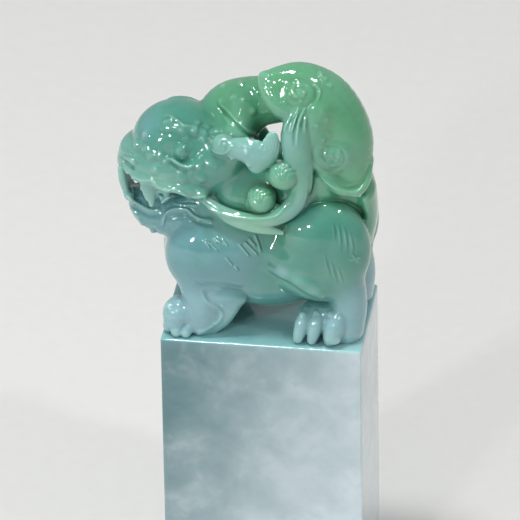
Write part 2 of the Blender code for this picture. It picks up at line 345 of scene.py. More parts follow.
class Clay:
    """One carved member while it is being modelled: strokes that run into each other."""

    def __init__(
        self, block: Block, name: str, slot: str, shade: Shade, softness: float, side: Side | None = None
    ) -> None:
        """Starts a member.

        Args:
            block: The block that it is laid in.
            name: The name of the CAD node that it stands for, without its side.
            slot: The record's material slot.
            shade: The colour of the stone there.
            softness: How softly the member runs into those under it.
            side: The side that it is on, so that its places are given as x, out and z.
        """
        self.block = block
        self.side = side or Side.RIGHT
        self.name = f"{side.label}_{name}" if side else name
        self.slot = slot
        self.shade = shade
        self.softness = softness
        self.strokes: list[Stroke] = []

    def ball(self, centre: Place, radii: Place | float, turn: Place = (0, 0, 0), soft: float = 0.5) -> "Clay":
        """Adds an ellipsoid.

        Args:
            centre: Its middle.
            radii: Its half sizes, or one number for a ball.
            turn: Its rotation about X, Y and Z, in degrees.
            soft: How softly it runs into the strokes before it.

        Returns:
            The member itself.
        """
        sizes = (radii, radii, radii) if isinstance(radii, (int, float)) else radii
        self.strokes.append(ball_stroke(self.block, self.side.spot(centre), sizes, turn, soft))
        return self

    def strand(self, points: Route, flat: Place = (1, 1, 1), soft: float = 0.5, steps: int = 5) -> "Clay":
        """Adds a tapering strand.

        Args:
            points: Its route, as rows of x, y, z and radius.
            flat: What its cross-section is scaled by along X, Y and Z.
            soft: How softly it runs into the strokes before it.
            steps: How many straight lengths each span of the route is cut into.

        Returns:
            The member itself.
        """
        self.strokes.append(strand_stroke(self.block, self.side.at(points), flat, soft, steps))
        return self

    def settle(self) -> Stroke:
        """Melts the member's strokes together.

        Returns:
            The whole member as one stroke.
        """
        low = [min(s.window[k].start for s in self.strokes) for k in range(3)]
        high = [max(s.window[k].stop for s in self.strokes) for k in range(3)]
        window = tuple(slice(a, b) for a, b in zip(low, high))
        whole = np.full(tuple(b - a for a, b in zip(low, high)), FAR, np.float32)
        for stroke in self.strokes:
            part = tuple(slice(s.start - a, s.stop - a) for s, a in zip(stroke.window, low))
            whole[part] = melt(whole[part], stroke.distance, stroke.softness)
        self.strokes = []
        return Stroke(window, whole, self.softness)


class Carving:
    """The whole beast: members melted together, hollowed, engraved and parted again.

    Attributes:
        UNDERLAP: How far a member goes on under its neighbours.
        SLOPE: How steeply it dives under them.
        SWEEP: How many widths away from a line the tool still cuts.
        FADE: The length over which the tool's reach ends.
    """

    UNDERLAP = 1.1
    SLOPE = 0.35
    SWEEP = 2.0
    FADE = 0.6

    def __init__(self, block: Block) -> None:
        """Starts with an empty block."""
        self.block = block
        self.field = np.full(block.shape, FAR, np.float32)
        self.nearest = np.full(block.shape, FAR, np.float32)
        self.second = np.full(block.shape, FAR, np.float32)
        self.owner = np.full(block.shape, -1, np.int16)
        self.lines = np.zeros(block.shape, np.float16)
        self.members: list[tuple[Clay, Stroke]] = []
        self.dabs: list[tuple[Place, float, Shade, float]] = []

    def lay(self, clay: Clay) -> None:
        """Lays a member down over those before it.

        Args:
            clay: The finished member.
        """
        whole = clay.settle()
        at = whole.window
        closer = whole.distance < self.nearest[at]
        self.second[at] = np.where(closer, self.nearest[at], np.minimum(self.second[at], whole.distance))
        self.owner[at] = np.where(closer, len(self.members), self.owner[at])
        self.nearest[at] = np.where(closer, whole.distance, self.nearest[at])
        self.field[at] = melt(self.field[at], whole.distance, whole.softness)
        self.members.append((clay, whole))

    def hollow(self, stroke: Stroke) -> None:
        """Cuts a shape out of everything that has been laid down.

        Args:
            stroke: The shape.
        """
        at = stroke.window
        self.field[at] = -melt(-self.field[at], stroke.distance, stroke.softness)

    def engrave(
        self, points: Route, depth: float, width: float, side: Side, span: float = 2.5, steps: int = 4
    ) -> None:
        """Draws a fine line on one side, cut in, or raised where depth is negative.

        Args:
            points: The line's route, as rows of x, out and z, and the share of the depth where it varies.
            depth: How deep it is cut.
            width: How far from its middle it has faded to a seventh.
            side: The side that is worked on.
            span: How far before and behind the route the tool reaches.
            steps: How many straight lengths each span of the route is cut into.
        """
        rows = [(*p, 1.0) if len(p) == 3 else tuple(p) for p in side.at(points)]
        route = smooth_route(rows, steps)
        right, up, back = side.tool()
        reach, run = self.SWEEP * width, np.abs(back) * span
        for start, end in zip(route[:-1], route[1:]):
            low, high = np.minimum(start, end)[:3] - reach - run, np.maximum(start, end)[:3] + reach + run
            window = self.block.window(low, high)
            x, y, z = (axis - np.float32(at) for axis, at in zip(self.block.places(window), start[:3]))
            across, over, away = (
                x * np.float32(row[0]) + y * np.float32(row[1]) + z * np.float32(row[2]) for row in (right, up, back)
            )
            step = end[:3] - start[:3]
            flat = (float(step @ right), float(step @ up), float(step @ back))
            along = np.clip((across * flat[0] + over * flat[1]) / max(flat[0] ** 2 + flat[1] ** 2, TINY), 0, 1)
            gap = (across - along * flat[0]) ** 2 + (over - along * flat[1]) ** 2
            share = start[3] + along * (end[3] - start[3])
            fade = np.clip((span - np.abs(away - along * flat[2])) / self.FADE, 0, 1)
            cut = depth * share * fade * np.exp(-gap / (0.5 * width * width))
            lines = self.lines[window]
            self.lines[window] = np.where(np.abs(cut) > np.abs(lines), cut, lines).astype(np.float16)

    def set_lines(self) -> None:
        """Works the lines that have been drawn into the surface."""
        self.field += self.lines.astype(np.float32)
        self.lines[:] = 0

    def touch(self, place: Sequence[float], side: Side, ahead: float = 3.5, behind: float = 6.0) -> Place | None:
        """Where a tool that is pushed through a place first meets the stone.

        Args:
            place: The place, as x, out and z.
            side: The side that is worked on.
            ahead: How far before the place the tool starts.
            behind: How far behind the place it may go.

        Returns:
            The place on the surface, as x, out and z, or None where it meets no stone.
        """
        back = side.tool()[2]
        travel = np.arange(-ahead, behind, 0.5 * self.block.step)
        spots = np.array(side.spot(place)) - travel[:, None] * back
        index = np.rint((spots - np.array(self.block.low)) / self.block.step).astype(int)
        index = np.clip(index, 0, np.array(self.field.shape) - 1)
        depths = self.field[index[:, 0], index[:, 1], index[:, 2]]
        inside = np.nonzero(depths < 0)[0]
        if not len(inside):
            return None
        spot = spots[inside[0]]
        return (float(spot[0]), float(side.value * spot[1]), float(spot[2]))

    def bead(self, place: Sequence[float], radius: float, side: Side, sunk: float = 0.45, soft: float = 0.25) -> None:
        """Raises a small round bead on the surface.

        Args:
            place: Where the tool is pushed, as x, out and z.
            radius: The bead's radius.
            side: The side that is worked on.
            sunk: How deep its middle lies, as a share of the radius.
            soft: How softly it runs into the surface.
        """
        met = self.touch(place, side)
        if met is None:
            return
        spot = np.array(side.spot(met)) - side.tool()[2] * radius * sunk
        stroke = ball_stroke(self.block, tuple(spot), (radius, radius, radius), (0, 0, 0), soft)
        at = stroke.window
        self.field[at] = melt(self.field[at], stroke.distance, soft)

    def dab(self, place: Place, radius: float, shade: Shade, strength: float = 0.8) -> None:
        """Notes a cloud of colour for tint to use: most are in the stone, and some are painted highlights.

        Args:
            place: Its middle, as x, y and z.
            radius: How far from its middle it has faded to a seventh.
            shade: Its colour.
            strength: How much of it shows in the middle, from 0 to 1.
        """
        self.dabs.append((place, radius, shade, strength))

    def trim(self, height: float) -> None:
        """Cuts everything off flat below a height."""
        self.field = np.maximum(self.field, height - self.block.axes[2][None, None, :])

    def solid(self, pitch: int, spread: float) -> "Cloud":
        """Measures how much stone is around each place.

        Args:
            pitch: How many voxels apart the places are.
            spread: How far round each place the stone is averaged.

        Returns:
            Values near 0 in a thin tip, 0.5 on a flat face and near 1 in a crease.
        """
        share = np.clip(0.5 - self.field[::pitch, ::pitch, ::pitch] / self.block.step, 0, 1)
        return Cloud(self.block, share[..., None], pitch, spread)

    def tint(self, pitch: int = 4, spread: float = 1.8) -> "Cloud":
        """Works out the colour of the stone, run together across the joins between members.

        Args:
            pitch: How many voxels apart the places are.
            spread: How far the members' colours run together.

        Returns:
            The colours in linear light, with the share of stone as a fourth number to divide them by.
        """
        shades = np.array([clay.shade.linear for clay, _ in self.members], np.float32)
        owner = self.owner[::pitch, ::pitch, ::pitch]
        colours = np.concatenate((shades[np.maximum(owner, 0)], (owner >= 0)[..., None]), axis=3).astype(np.float32)
        colours[..., :3] *= colours[..., 3:]
        cloud = Cloud(self.block, colours, pitch, spread)
        x, y, z = (axis[::pitch] for axis in self.block.axes)
        for place, radius, shade, strength in self.dabs:
            gap = (x[:, None, None] - place[0]) ** 2 + (y[None, :, None] - place[1]) ** 2 + (z - place[2]) ** 2
            share = (strength * np.exp(-gap / (0.5 * radius * radius)))[..., None].astype(np.float32)
            full = shade.linear.astype(np.float32) * cloud.values[..., 3:]
            cloud.values[..., :3] += share * (full - cloud.values[..., :3])
        return cloud

    def part(self, index: int) -> tuple[np.ndarray, np.ndarray]:
        """Cuts one member out of the carving, a little way under its neighbours.

        Args:
            index: The member's place in the order in which they were laid down.

        Returns:
            The points in millimetres and the corners of the four-sided faces.
        """
        whole = self.members[index][1]
        at = whole.window
        other = np.where(self.owner[at] == index, self.second[at], self.nearest[at])
        beyond = 0.5 * (whole.distance - other)
        values = np.maximum(self.field[at] + self.SLOPE * np.maximum(beyond, 0), beyond - self.UNDERLAP)
        values = np.pad(values, 1, constant_values=FAR)
        grid = openvdb.FloatGrid(FAR)
        grid.copyFromArray(np.clip(values, -FAR, FAR))
        points, _, quads = grid.convertToPolygons(0.0, 0.0)
        start = np.array([part.start for part in at], float) - 1
        return np.array(self.block.low) + (start + points) * self.block.step, quads


class Cloud:
    """Values that change slowly through the block, such as its colour, on a coarse grid."""

    def __init__(self, block: Block, values: np.ndarray, pitch: int, spread: float) -> None:
        """Averages values over a distance.

        Args:
            block: The block that they lie in.
            values: The values at every few voxels, with one or more for each place.
            pitch: How many voxels apart they are.
            spread: How far they are averaged.
        """
        self.low = np.array(block.low)
        self.pitch = block.step * pitch
        reach = max(1, round(spread / self.pitch))
        for axis in range(3):
            for _ in range(2):
                values = self._blur(values, axis, reach)
        self.values = values

    @staticmethod
    def _blur(values: np.ndarray, axis: int, reach: int) -> np.ndarray:
        """Averages values along one axis.

        Args:
            values: The values.
            axis: The axis.
            reach: How many places either way are averaged.

        Returns:
            The averages, in the same shape.
        """
        edge = [(0, 0)] * values.ndim
        edge[axis] = (reach + 1, reach)
        total = np.cumsum(np.pad(values, edge, mode="edge"), axis=axis, dtype=np.float64)
        size, width = values.shape[axis], 2 * reach + 1
        high = np.take(total, np.arange(width, size + width), axis=axis)
        low = np.take(total, np.arange(size), axis=axis)
        return ((high - low) / width).astype(np.float32)

    def at(self, points: np.ndarray) -> np.ndarray:
        """Blends the values between the nearest places.

        Args:
            points: Rows of x, y and z.

        Returns:
            The values at each point, as rows.
        """
        spot = np.clip((points - self.low) / self.pitch, 0, np.array(self.values.shape[:3]) - 1.001)
        base = spot.astype(int)
        part = spot - base
        total = np.zeros((len(points), self.values.shape[3]))
        for corner in np.ndindex(2, 2, 2):
            weight = np.prod(np.where(corner, part, 1 - part), axis=1)
            i, j, k = (base + corner).T
            total += weight[:, None] * self.values[i, j, k]
        return total


@dataclass
class Body:
    """The trunk and the four legs.

    Attributes:
        trunk: The trunk's half sizes.
        haunch: The haunch's half sizes.
        shoulder: The shoulder's half sizes.
        fold: How softly the big muscles run together.
    """

    trunk: Place = (12.4, 7.0, 9.2)
    haunch: Place = (6.5, 4.0, 8.4)
    shoulder: Place = (6.9, 3.9, 6.8)
    fold: float = 1.4

    def lay(self, carving: Carving) -> None:
        """Lays the trunk down first and then the legs of both sides.

        Args:
            carving: The block of stone that is worked on.
        """
        block = carving.block
        trunk = Clay(block, "torso", "jade_teal", Shade.TEAL, 0.0).ball((1.2, 0, 11.9), self.trunk)
        carving.lay(trunk.ball((-2, 0, 8.6), (9, 6.4, 6.0), soft=2.0))
        chest = Clay(block, "chest", "jade_pale", Shade.SLATE, self.fold).ball((-9.5, 0, 11.4), (6.1, 6.3, 8.0))
        carving.lay(chest.ball((-9.0, 0, 7.0), (4.6, 5.0, 6.0), soft=1.5))
        neck = Clay(block, "neck", "jade_teal", Shade.TEAL, 2.0).ball((-3.2, 0, 21.6), (7.8, 6.1, 7.0))
        carving.lay(neck.ball((4.6, -0.4, 22.6), (5.6, 5.6, 6.4), soft=2.0))
        for side in Side:
            self.lay_hind_leg(carving, side)
            self.lay_fore_leg(carving, side)

    def lay_hind_leg(self, carving: Carving, side: Side) -> None:
        """Lays down one haunch, shank and hind paw.

        Args:
            carving: The block of stone that is worked on.
            side: The side that is worked on.
        """
        block = carving.block
        shank = Clay(block, "shank", "jade_pale", Shade.MIST, 0.8, side)
        shank.strand([(12.0, 4.2, 9.4, 2.9), (12.6, 4.7, 5.4, 2.7), (12.2, 5.3, 1.6, 2.7)])
        carving.lay(shank)
        haunch = Clay(block, "haunch", "jade_teal", Shade.TEAL, 0.9, side)
        haunch.ball((9.4, 4.5, 14.8), self.haunch)
        haunch.ball((7.2, 5.4, 17.4), (4.6, 3.3, 4.4), soft=1.2)
        haunch.ball((5.2, 5.6, 13.2), (4.4, 2.9, 2.9), (0, 18, 0), soft=1.4)
        haunch.ball((6.8, 5.2, 9.6), (5.6, 2.9, 3.0), (0, 16, 0), soft=1.2)
        ledge = [(0.6, 6.4, 12.4, 0.4), (2.8, 7.3, 12.2, 1.1), (5.2, 7.8, 11.5, 1.3), (7.3, 7.9, 10.1, 1.3)]
        haunch.strand([*ledge, (9.0, 7.6, 8.6, 0.7)], (1, 0.75, 1), soft=0.5)
        carving.lay(haunch)
        paw = Clay(block, "hind_paw", "jade_pale", Shade.MIST, 0.6, side)
        paw.ball((9.2, 5.0, 3.0), (4.4, 3.0, 2.6), soft=0.6)
        toes = (
            [(6.6, 6.0, 4.4, 0.8), (6.1, 7.2, 3.5, 1.1), (5.7, 7.8, 2.0, 1.0), (5.4, 8.0, 0.8, 0.75)],
            [(8.5, 6.2, 4.6, 0.8), (8.1, 7.5, 3.6, 1.1), (7.8, 8.0, 2.1, 1.0), (7.5, 8.1, 0.8, 0.75)],
            [(11.4, 6.0, 4.4, 1.2), (10.9, 7.3, 3.3, 1.6), (10.6, 7.8, 1.8, 1.5), (10.1, 8.0, 0.9, 0.9)],
        )
        for toe in toes:
            paw.strand(toe, soft=0.3)
        paw.ball((10.7, 8.9, 1.5), (1.2, 0.5, 0.8), soft=0.15)
        carving.lay(paw)

    def lay_fore_leg(self, carving: Carving, side: Side) -> None:
        """Lays down one shoulder, forearm, elbow tuft and fore paw.

        Args:
            carving: The block of stone that is worked on.
            side: The side that is worked on.
        """
        block = carving.block
        shoulder = Clay(block, "shoulder", "jade_teal", Shade.SLATE, 1.5, side)
        shoulder.ball((-7.8, 4.7, 12.2), self.shoulder)
        shoulder.ball((-4.2, 5.2, 14.0), (4.6, 3.0, 4.6), (0, 30, 0), soft=1.5)
        carving.lay(shoulder)
        paw = Clay(block, "fore_paw", "jade_pale", Shade.MIST, 0.5, side)
        paw.strand([(-10.6, 5.8, 2.4, 2.0), (-12.5, 6.2, 3.1, 2.35), (-13.0, 6.8, 1.9, 1.9)])
        for toe in ((-14.0, 7.2, 1.0, 0.9), (-12.7, 8.2, 0.8, 0.9), (-11.3, 8.3, 0.7, 0.8)):
            paw.strand([(toe[0] + 0.5, toe[1] - 1.6, 2.2, 0.9), toe], soft=0.25)
        carving.lay(paw)
        forearm = Clay(block, "forearm", "jade_pale", Shade.MIST, 0.9, side)
        leg = [(-9.6, 5.2, 10.0, 3.0), (-9.9, 6.0, 7.2, 2.4), (-8.9, 6.4, 4.4, 2.5), (-9.3, 6.5, 1.6, 2.0)]
        forearm.strand(leg, (1, 0.9, 1))
        carving.lay(forearm)
        tuft = Clay(block, "elbow_tuft", "jade_pale", Shade.MIST, 0.7, side)
        upper = [(-8.6, 6.6, 7.4, 0.9), (-6.6, 6.9, 6.9, 1.7), (-4.8, 6.8, 6.7, 1.6), (-3.2, 6.6, 6.4, 0.8)]
        lower = [(-3.7, 6.6, 6.0, 0.9), (-4.9, 6.6, 4.6, 1.4), (-6.3, 6.5, 2.7, 1.6), (-7.7, 6.4, 0.9, 1.3)]
        tuft.strand(upper, (1, 0.8, 1)).strand(lower, (1, 0.8, 1), soft=1.0)
        carving.lay(tuft)

    def finish(self, carving: Carving) -> None:
        """Engraves the muscles and the hair on both sides.

        Args:
            carving: The block of stone that is worked on.
        """
        for side in Side:
            for line in (
                [(10.9, 7, 20.6, 0.3), (11.1, 7, 19.4), (11.2, 7, 17.9, 0.3)],
                [(11.7, 7, 20.4, 0.3), (12.0, 7, 18.4), (12.1, 7, 15.9, 0.3)],
                [(12.6, 7, 20.0, 0.3), (12.9, 7, 18.0), (13.0, 7, 15.4, 0.3)],
                [(13.5, 7, 19.0, 0.3), (13.8, 7, 17.2), (13.8, 7, 15.4, 0.3)],
                [(9.7, 7, 15.6, 0.2), (9.9, 7, 13.4), (10.6, 7, 11.0, 0.3)],
                [(10.6, 7, 14.0, 0.2), (10.9, 7, 12.4), (11.5, 7, 10.1, 0.3)],
                [(11.6, 7, 13.0, 0.2), (11.9, 7, 11.8), (12.4, 7, 10.2, 0.3)],
            ):
                carving.engrave(line, 0.16, 0.26, side, span=4)
                carving.engrave(moved(line, -0.4), -0.12, 0.22, side, span=4)
            for knot in ([(13.2, 7, 14.4), (14.5, 7, 14.9)], [(13.6, 7, 15.2), (14.3, 7, 14.2)]):
                carving.engrave(knot, -0.2, 0.26, side, span=3)
            for stroke in (
                [(-8.3, 8, 16.8), (-7.6, 8, 15.7)],
                [(-7.7, 8, 16.5), (-6.5, 8, 15.3)],
                [(-6.7, 8, 17.3), (-6.0, 8, 16.7)],
                [(-5.8, 8, 17.3), (-5.0, 8, 16.3)],
                [(-1.7, 7.5, 17.3), (-0.9, 7.5, 16.2)],
                [(-2.3, 7.5, 16.6), (-0.7, 7.5, 14.8)],
                [(-0.8, 7.5, 17.9), (-0.4, 7.5, 16.6), (-0.1, 7.5, 15.4)],
                [(-3.9, 7.5, 12.2), (-3.5, 7.5, 11.8)],
                [(-7.1, 8, 17.2), (-6.6, 8, 16.7)],
                [(-5.2, 7.5, 13.6), (-4.4, 7.5, 12.6)],
                [(-3.2, 7.5, 16.2), (-1.9, 7.5, 14.4)],
            ):
                carving.engrave(stroke, -0.24, 0.2, side, span=4)
                carving.engrave(moved(stroke, 0.35), 0.1, 0.2, side, span=4)
            ridge = [(-8.8, 8.3, 8.2, 0.5), (-8.3, 8.3, 6.5), (-7.2, 8.3, 5.7), (-6.1, 8.3, 4.8), (-6.0, 8.3, 3.9)]
            lower = [(-6.5, 8.3, 2.9), (-7.4, 8.3, 2.0), (-8.3, 8.3, 1.3), (-9.4, 8.3, 0.7, 0.6)]
            carving.engrave([*ridge, *lower], -0.34, 0.55, side, span=3)
            carving.engrave(
                [(-11.2, 8, 10.2, 0.2), (-8.8, 8, 9.4), (-6.2, 8, 9.3), (-3.0, 8, 8.9, 0.4)], 0.25, 0.5, side
            )
            rim = [(3.3, 3.5, 17.1, 0.2), (5.1, 3.5, 19.7), (7.3, 3.5, 21.5), (9.4, 3.5, 22.2), (12.1, 3.5, 22.1)]
            carving.engrave([*rim, (13.9, 3.5, 21.2), (15.0, 3.5, 19.8, 0.3)], 0.25, 0.5, side, span=3)
            for place in ((6.1, 7.5, 4.6), (8.1, 7.5, 5.0), (10.2, 7.5, 5.0), (-13.9, 7, 4.3), (-12.4, 7, 5.0)):
                carving.bead(place, 0.55, side, sunk=0.6)


@dataclass
class Head:
    """The head: its masses, its features and the mouth.

    Attributes:
        crown: The half sizes of the domed crown.
        skull: The half sizes of the skull behind it.
        eye: The radius of an eye.
        bead: The radius of a bead of the brow.
    """

    crown: Place = (6.9, 6.1, 6.1)
    skull: Place = (7.8, 6.7, 6.3)
    eye: float = 1.6
    bead: float = 0.62

    def lay(self, carving: Carving) -> None:
        """Lays the masses down, hollows the mouth and sets the features in.

        Args:
            carving: The block of stone that is worked on.
        """
        block = carving.block
        jaw = Clay(block, "lower_jaw", "jade_pale", Shade.SLATE, 0.8)
        jaw.strand(
            [(-19.8, 0, 19.0, 1.3), (-17.2, 0, 17.4, 3.0), (-13.0, 0, 17.4, 4.1), (-9.0, 0, 19.4, 3.8)], (1, 1.35, 1)
        )
        jaw.strand([(-20.2, -2.2, 19.9, 0.7), (-20.9, 0, 20.2, 0.8), (-20.2, 2.2, 19.9, 0.7)], soft=0.6)
        jaw.strand([(-18.6, 0, 17.6, 1.4), (-20.2, 0, 17.9, 0.4)], (1, 2.0, 1), soft=0.4)
        carving.lay(jaw)
        carving.lay(Clay(block, "skull", "jade_teal", Shade.TEAL, 1.2).ball((-9.3, 0, 27.0), self.skull))
        muzzle = Clay(block, "muzzle", "jade_teal", Shade.SEA, 1.2).ball((-16.6, 0, 27.0), (4.6, 5.3, 3.8))
        for side in Side:
            muzzle.ball(side.spot((-14.0, 3.8, 26.4)), (4.4, 3.0, 3.2), soft=1.2)
            lip = [(-20.6, 1.2, 25.2, 0.9), (-19.4, 3.6, 25.3, 1.0), (-16.8, 5.4, 25.5, 1.0), (-14.0, 6.2, 24.9, 1.0)]
            muzzle.strand(side.at([*lip, (-11.2, 6.4, 24.6, 0.9), (-8.6, 6.3, 24.2, 0.8)]), soft=0.5)
        carving.lay(muzzle)
        carving.lay(Clay(block, "crown", "jade_teal", Shade.TEAL, 0.7).ball((-13.0, 0, 29.1), self.crown))
        self.hollow_mouth(carving)
        nose = Clay(block, "nose", "jade_teal", Shade.SEA, 0.6).ball((-19.5, 0, 27.6), (1.9, 2.8, 2.1))
        nose.strand([(-20.3, 0, 27.0, 1.7), (-21.1, 0, 25.7, 1.2), (-21.8, 0, 24.8, 0.6)], (1, 1.6, 1), soft=0.8)
        carving.lay(nose)
        teeth = Clay(block, "front_teeth", "jade_pale", Shade.FROST, 0.2)
        for out in (-1.9, -0.9, 0.1, 1.1):
            teeth.strand([(-20.6, out, 20.0, 0.45), (-21.2, out, 22.4, 0.62), (-21.4, out, 24.6, 0.6)], soft=0.2)
        carving.lay(teeth)
        tongue = Clay(block, "tongue", "jade_teal", Shade.SLATE, 0.3)
        tongue.strand([(-10.5, 0, 21.2, 2.0), (-15.5, 0, 20.9, 1.8), (-17.8, 0, 20.6, 0.9)], (1, 1.6, 0.7))
        carving.lay(tongue)
        for side in Side:
            self.lay_features(carving, side)

    def hollow_mouth(self, carving: Carving) -> None:
        """Cuts the mouth out between the lip and the jaw.

        Args:
            carving: The block of stone that is worked on.
        """
        block = carving.block
        carving.hollow(ball_stroke(block, (-19.6, 0, 22.6), (1.1, 9.0, 1.5), (0, 0, 0), 0.4))
        carving.hollow(ball_stroke(block, (-20.0, 0, 21.6), (0.7, 9.0, 0.9), (-32, 0, 0), 0.2))
        for side in Side:
            carving.hollow(ball_stroke(block, side.spot((-15.6, 6.7, 22.4)), (4.6, 1.9, 1.5), (0, -6, 0), 0.6))

    def lay_features(self, carving: Carving, side: Side) -> None:
        """Lays down one side's fang, eye, brow, whorl and ear.

        Args:
            carving: The block of stone that is worked on.
            side: The side that is worked on.
        """
        block = carving.block
        fang = Clay(block, "fang", "jade_pale", Shade.FROST, 0.5, side)
        fang.strand([(-16.8, 5.1, 25.0, 1.4), (-16.7, 5.4, 23.3, 1.15), (-16.5, 5.7, 21.4, 0.55)], (1, 0.8, 1))
        curl = [(-15.7, 5.3, 22.2, 0.3), (-15.5, 5.4, 23.3, 0.45), (-14.6, 5.5, 23.5, 0.5), (-14.1, 5.5, 22.7, 0.5)]
        fang.strand([*curl, (-14.6, 5.5, 21.9, 0.45), (-15.1, 5.4, 22.4, 0.3)], soft=0.2)
        carving.lay(fang)
        eye = Clay(block, "eye", "jade_teal", Shade.TEAL, 0.35, side)
        spot = carving.touch((-11.7, 6.8, 31.3), side)
        carving.hollow(ball_stroke(block, side.spot(spot), (2.4, 0.45, 1.9), (0, 0, 0), 0.9))
        eye.ball((spot[0], spot[1] - 1.5, spot[2] - 0.7), self.eye + 0.15)
        carving.lay(eye)
        brow = Clay(block, "brow", "jade_teal", Shade.TEAL, 0.5, side)
        route = ((-14.6, 4.8, 33.6, 0.5), (-13.2, 5.2, 34.3, 0.8), (-11.2, 5.2, 34.1, 0.8), (-9.2, 5.2, 33.6, 0.8))
        drop = 0.0 if side is Side.LEFT else 2.6
        route = [(x, out, z - drop, r) for x, out, z, r in (*route, (-7.6, 5.6, 32.6, 0.5))]
        rows = [(*(carving.touch(p, side) or p[:3]), p[3]) for p in route]
        brow.strand([(x, out - 0.2, z - 0.1, r) for x, out, z, r in rows])
        carving.lay(brow)
        whorl = Clay(block, "ear_whorl", "jade_teal", Shade.SEA, 0.4, side)
        spot = (-5.6, 4.9, 31.6) if side is Side.LEFT else (-5.6, 4.9, 29.0)
        carving.lay(whorl.ball(spot, (1.9, 1.5, 1.8)))
        ear = Clay(block, "ear", "jade_pale", Shade.FROST, 0.5, side)
        if side is Side.LEFT:
            route = [(-5.4, 5.2, 31.0, 1.2), (-3.4, 5.8, 31.7, 1.8), (-1.4, 6.2, 31.6, 2.1), (0.3, 6.4, 31.3, 2.0)]
            lobe = [(-0.8, 6.4, 30.6, 1.5), (-0.6, 6.6, 29.7, 1.4), (-0.5, 6.7, 29.2, 1.0)]
            ear.strand(route, (1, 0.6, 1)).ball((1.45, 6.6, 32.4), (1.4, 0.7, 3.15), (0, 10, 0), soft=0.5)
            ear.strand(lobe, (1, 0.6, 1), soft=0.7)
        else:
            route = [(-6.4, 5.7, 29.4, 0.9), (-4.2, 6.4, 28.4, 1.5), (-2.2, 6.8, 26.8, 1.5), (-0.8, 6.8, 25.2, 0.5)]
            ear.strand(route, (1, 0.6, 1))
        carving.lay(ear)

    def set_beads(self, carving: Carving) -> None:
        """Raises the beads of the brow, snout and cheek.

        Args:
            carving: The block of stone that is worked on.
        """
        small = (
            (-18.2, 31.6), (-16.9, 30.9), (-13.2, 35.7), (-13.9, 35.4), (-11.6, 34.5), (-9.8, 34.6), (-9.4, 35.6)
        )
        brow = ((-11.0, 33.4), (-8.5, 34.1), (-8.5, 33.1), (-7.9, 34.9), (-7.1, 34.1), (-6.3, 34.4), (-16.8, 33.3))
        cheek = ((-10.4, 27.6), (-11.8, 27.4), (-9.1, 28.4), (-7.6, 29.0), (-6.9, 28.6), (-14.1, 28.9), (-15.0, 29.8))
        large = (
            (-16.0, 29.8), (-15.5, 27.5), (-11.8, 31.1), (-11.6, 26.3), (-8.8, 26.6), (-9.0, 23.7), (-18.6, 28.8)
        )
        jaw = (
            (-19.0, 19.2), (-18.4, 18.4), (-17.9, 17.4), (-16.4, 16.2), (-15.9, 17.0), (-19.1, 17.3), (-18.3, 16.4)
        )
        for side in Side:
            for x, z in jaw:
                carving.bead((x, 5, z), 0.5, side, 0.7, 0.3)
            top = 37.0 if side is Side.LEFT else 32.0
            for rows, radius, sunk in (((*small, *brow), self.bead, 0.6), (cheek, 0.55, 0.6), (large, 0.95, 0.66)):
                for x, z in rows:
                    if z < top:
                        carving.bead((x, 6, z), radius, side, sunk, 0.4)
            if side is Side.LEFT:
                for x, z in (
                    (-1.9, 33.8), (-2.9, 32.7), (-1.4, 32.6), (-2.0, 31.5), (-0.4, 33.4), (-4.2, 30.6), (-1.7, 29.6)
                ):
                    carving.bead((x, 6.5, z), 0.42, side, 0.65, 0.3)

    def finish(self, carving: Carving) -> None:
        """Engraves the face on both sides.

        Args:
            carving: The block of stone that is worked on.
        """
        for side in Side:
            lid = [
                (-13.3, 6.8, 30.0, 0.4), (-12.5, 6.8, 29.3), (-11.7, 6.8, 28.8), (-10.8, 6.8, 28.6),
                (-9.9, 6.8, 28.9, 0.4),
            ]
            carving.engrave(lid, -0.4, 0.42, side, span=3)
            carving.engrave(moved(lid, 0, -0.75), 0.12, 0.4, side, span=3)
            fore = [
                (-14.4, 4.8, 35.9, 0.5), (-13.7, 4.8, 36.1), (-12.9, 4.8, 35.8), (-12.2, 4.8, 35.2),
                (-11.5, 4.8, 34.5),
            ]
            carving.engrave([*fore, (-10.6, 4.8, 34.5, 0.5)], -0.3, 0.35, side, span=4)
            spiral = [
                (-8.4, 6.6, 33.5, 0.4), (-7.4, 6.6, 31.8), (-6.2, 6.6, 31.1), (-5.1, 6.6, 31.3), (-4.5, 6.6, 32.4),
            ]
            carving.engrave(
                [*spiral, (-4.9, 6.6, 33.6), (-5.8, 6.6, 33.5), (-6.1, 6.6, 32.6)], -0.2, 0.3, side, span=3
            )
            for line in (
                [(-15.1, 6.3, 21.4), (-14.2, 6.3, 22.5), (-12.8, 6.3, 23.1)],
                [(-12.9, 6.3, 21.9), (-12.1, 6.3, 22.3), (-11.0, 6.3, 22.6)],
                [(-13.6, 6.3, 22.0), (-12.0, 6.3, 21.7), (-9.8, 6.3, 21.8)],
                [(-16.6, 6.0, 20.9, 0.5), (-15.4, 6.3, 21.0), (-14.2, 6.3, 21.6), (-13.4, 6.3, 21.5, 0.4)],
                [(-19.4, 4.4, 21.9, 0.4), (-18.4, 5.0, 22.6), (-18.0, 5.2, 23.8, 0.4)],
            ):
                carving.engrave(line, -0.24, 0.26, side, span=3)
            curl = [
                (-14.8, 6.5, 18.2, 0.4), (-14.6, 6.5, 19.2), (-14.2, 6.5, 20.2), (-13.4, 6.5, 20.9),
                (-12.1, 6.5, 21.2),
            ]
            curl += [(-11.0, 6.5, 21.0), (-10.2, 6.5, 20.2), (-9.1, 6.5, 19.6), (-7.6, 6.5, 19.5, 0.5)]
            carving.engrave(curl, -0.34, 0.4, side, span=4)
            carving.engrave(moved(curl, 0.4, -0.9), 0.14, 0.5, side, span=4)
            lip = [(-19.2, 5, 25.0), (-17.6, 6, 25.2), (-16.2, 6.3, 25.5), (-15.3, 6.5, 24.6), (-14.0, 6.8, 24.2)]
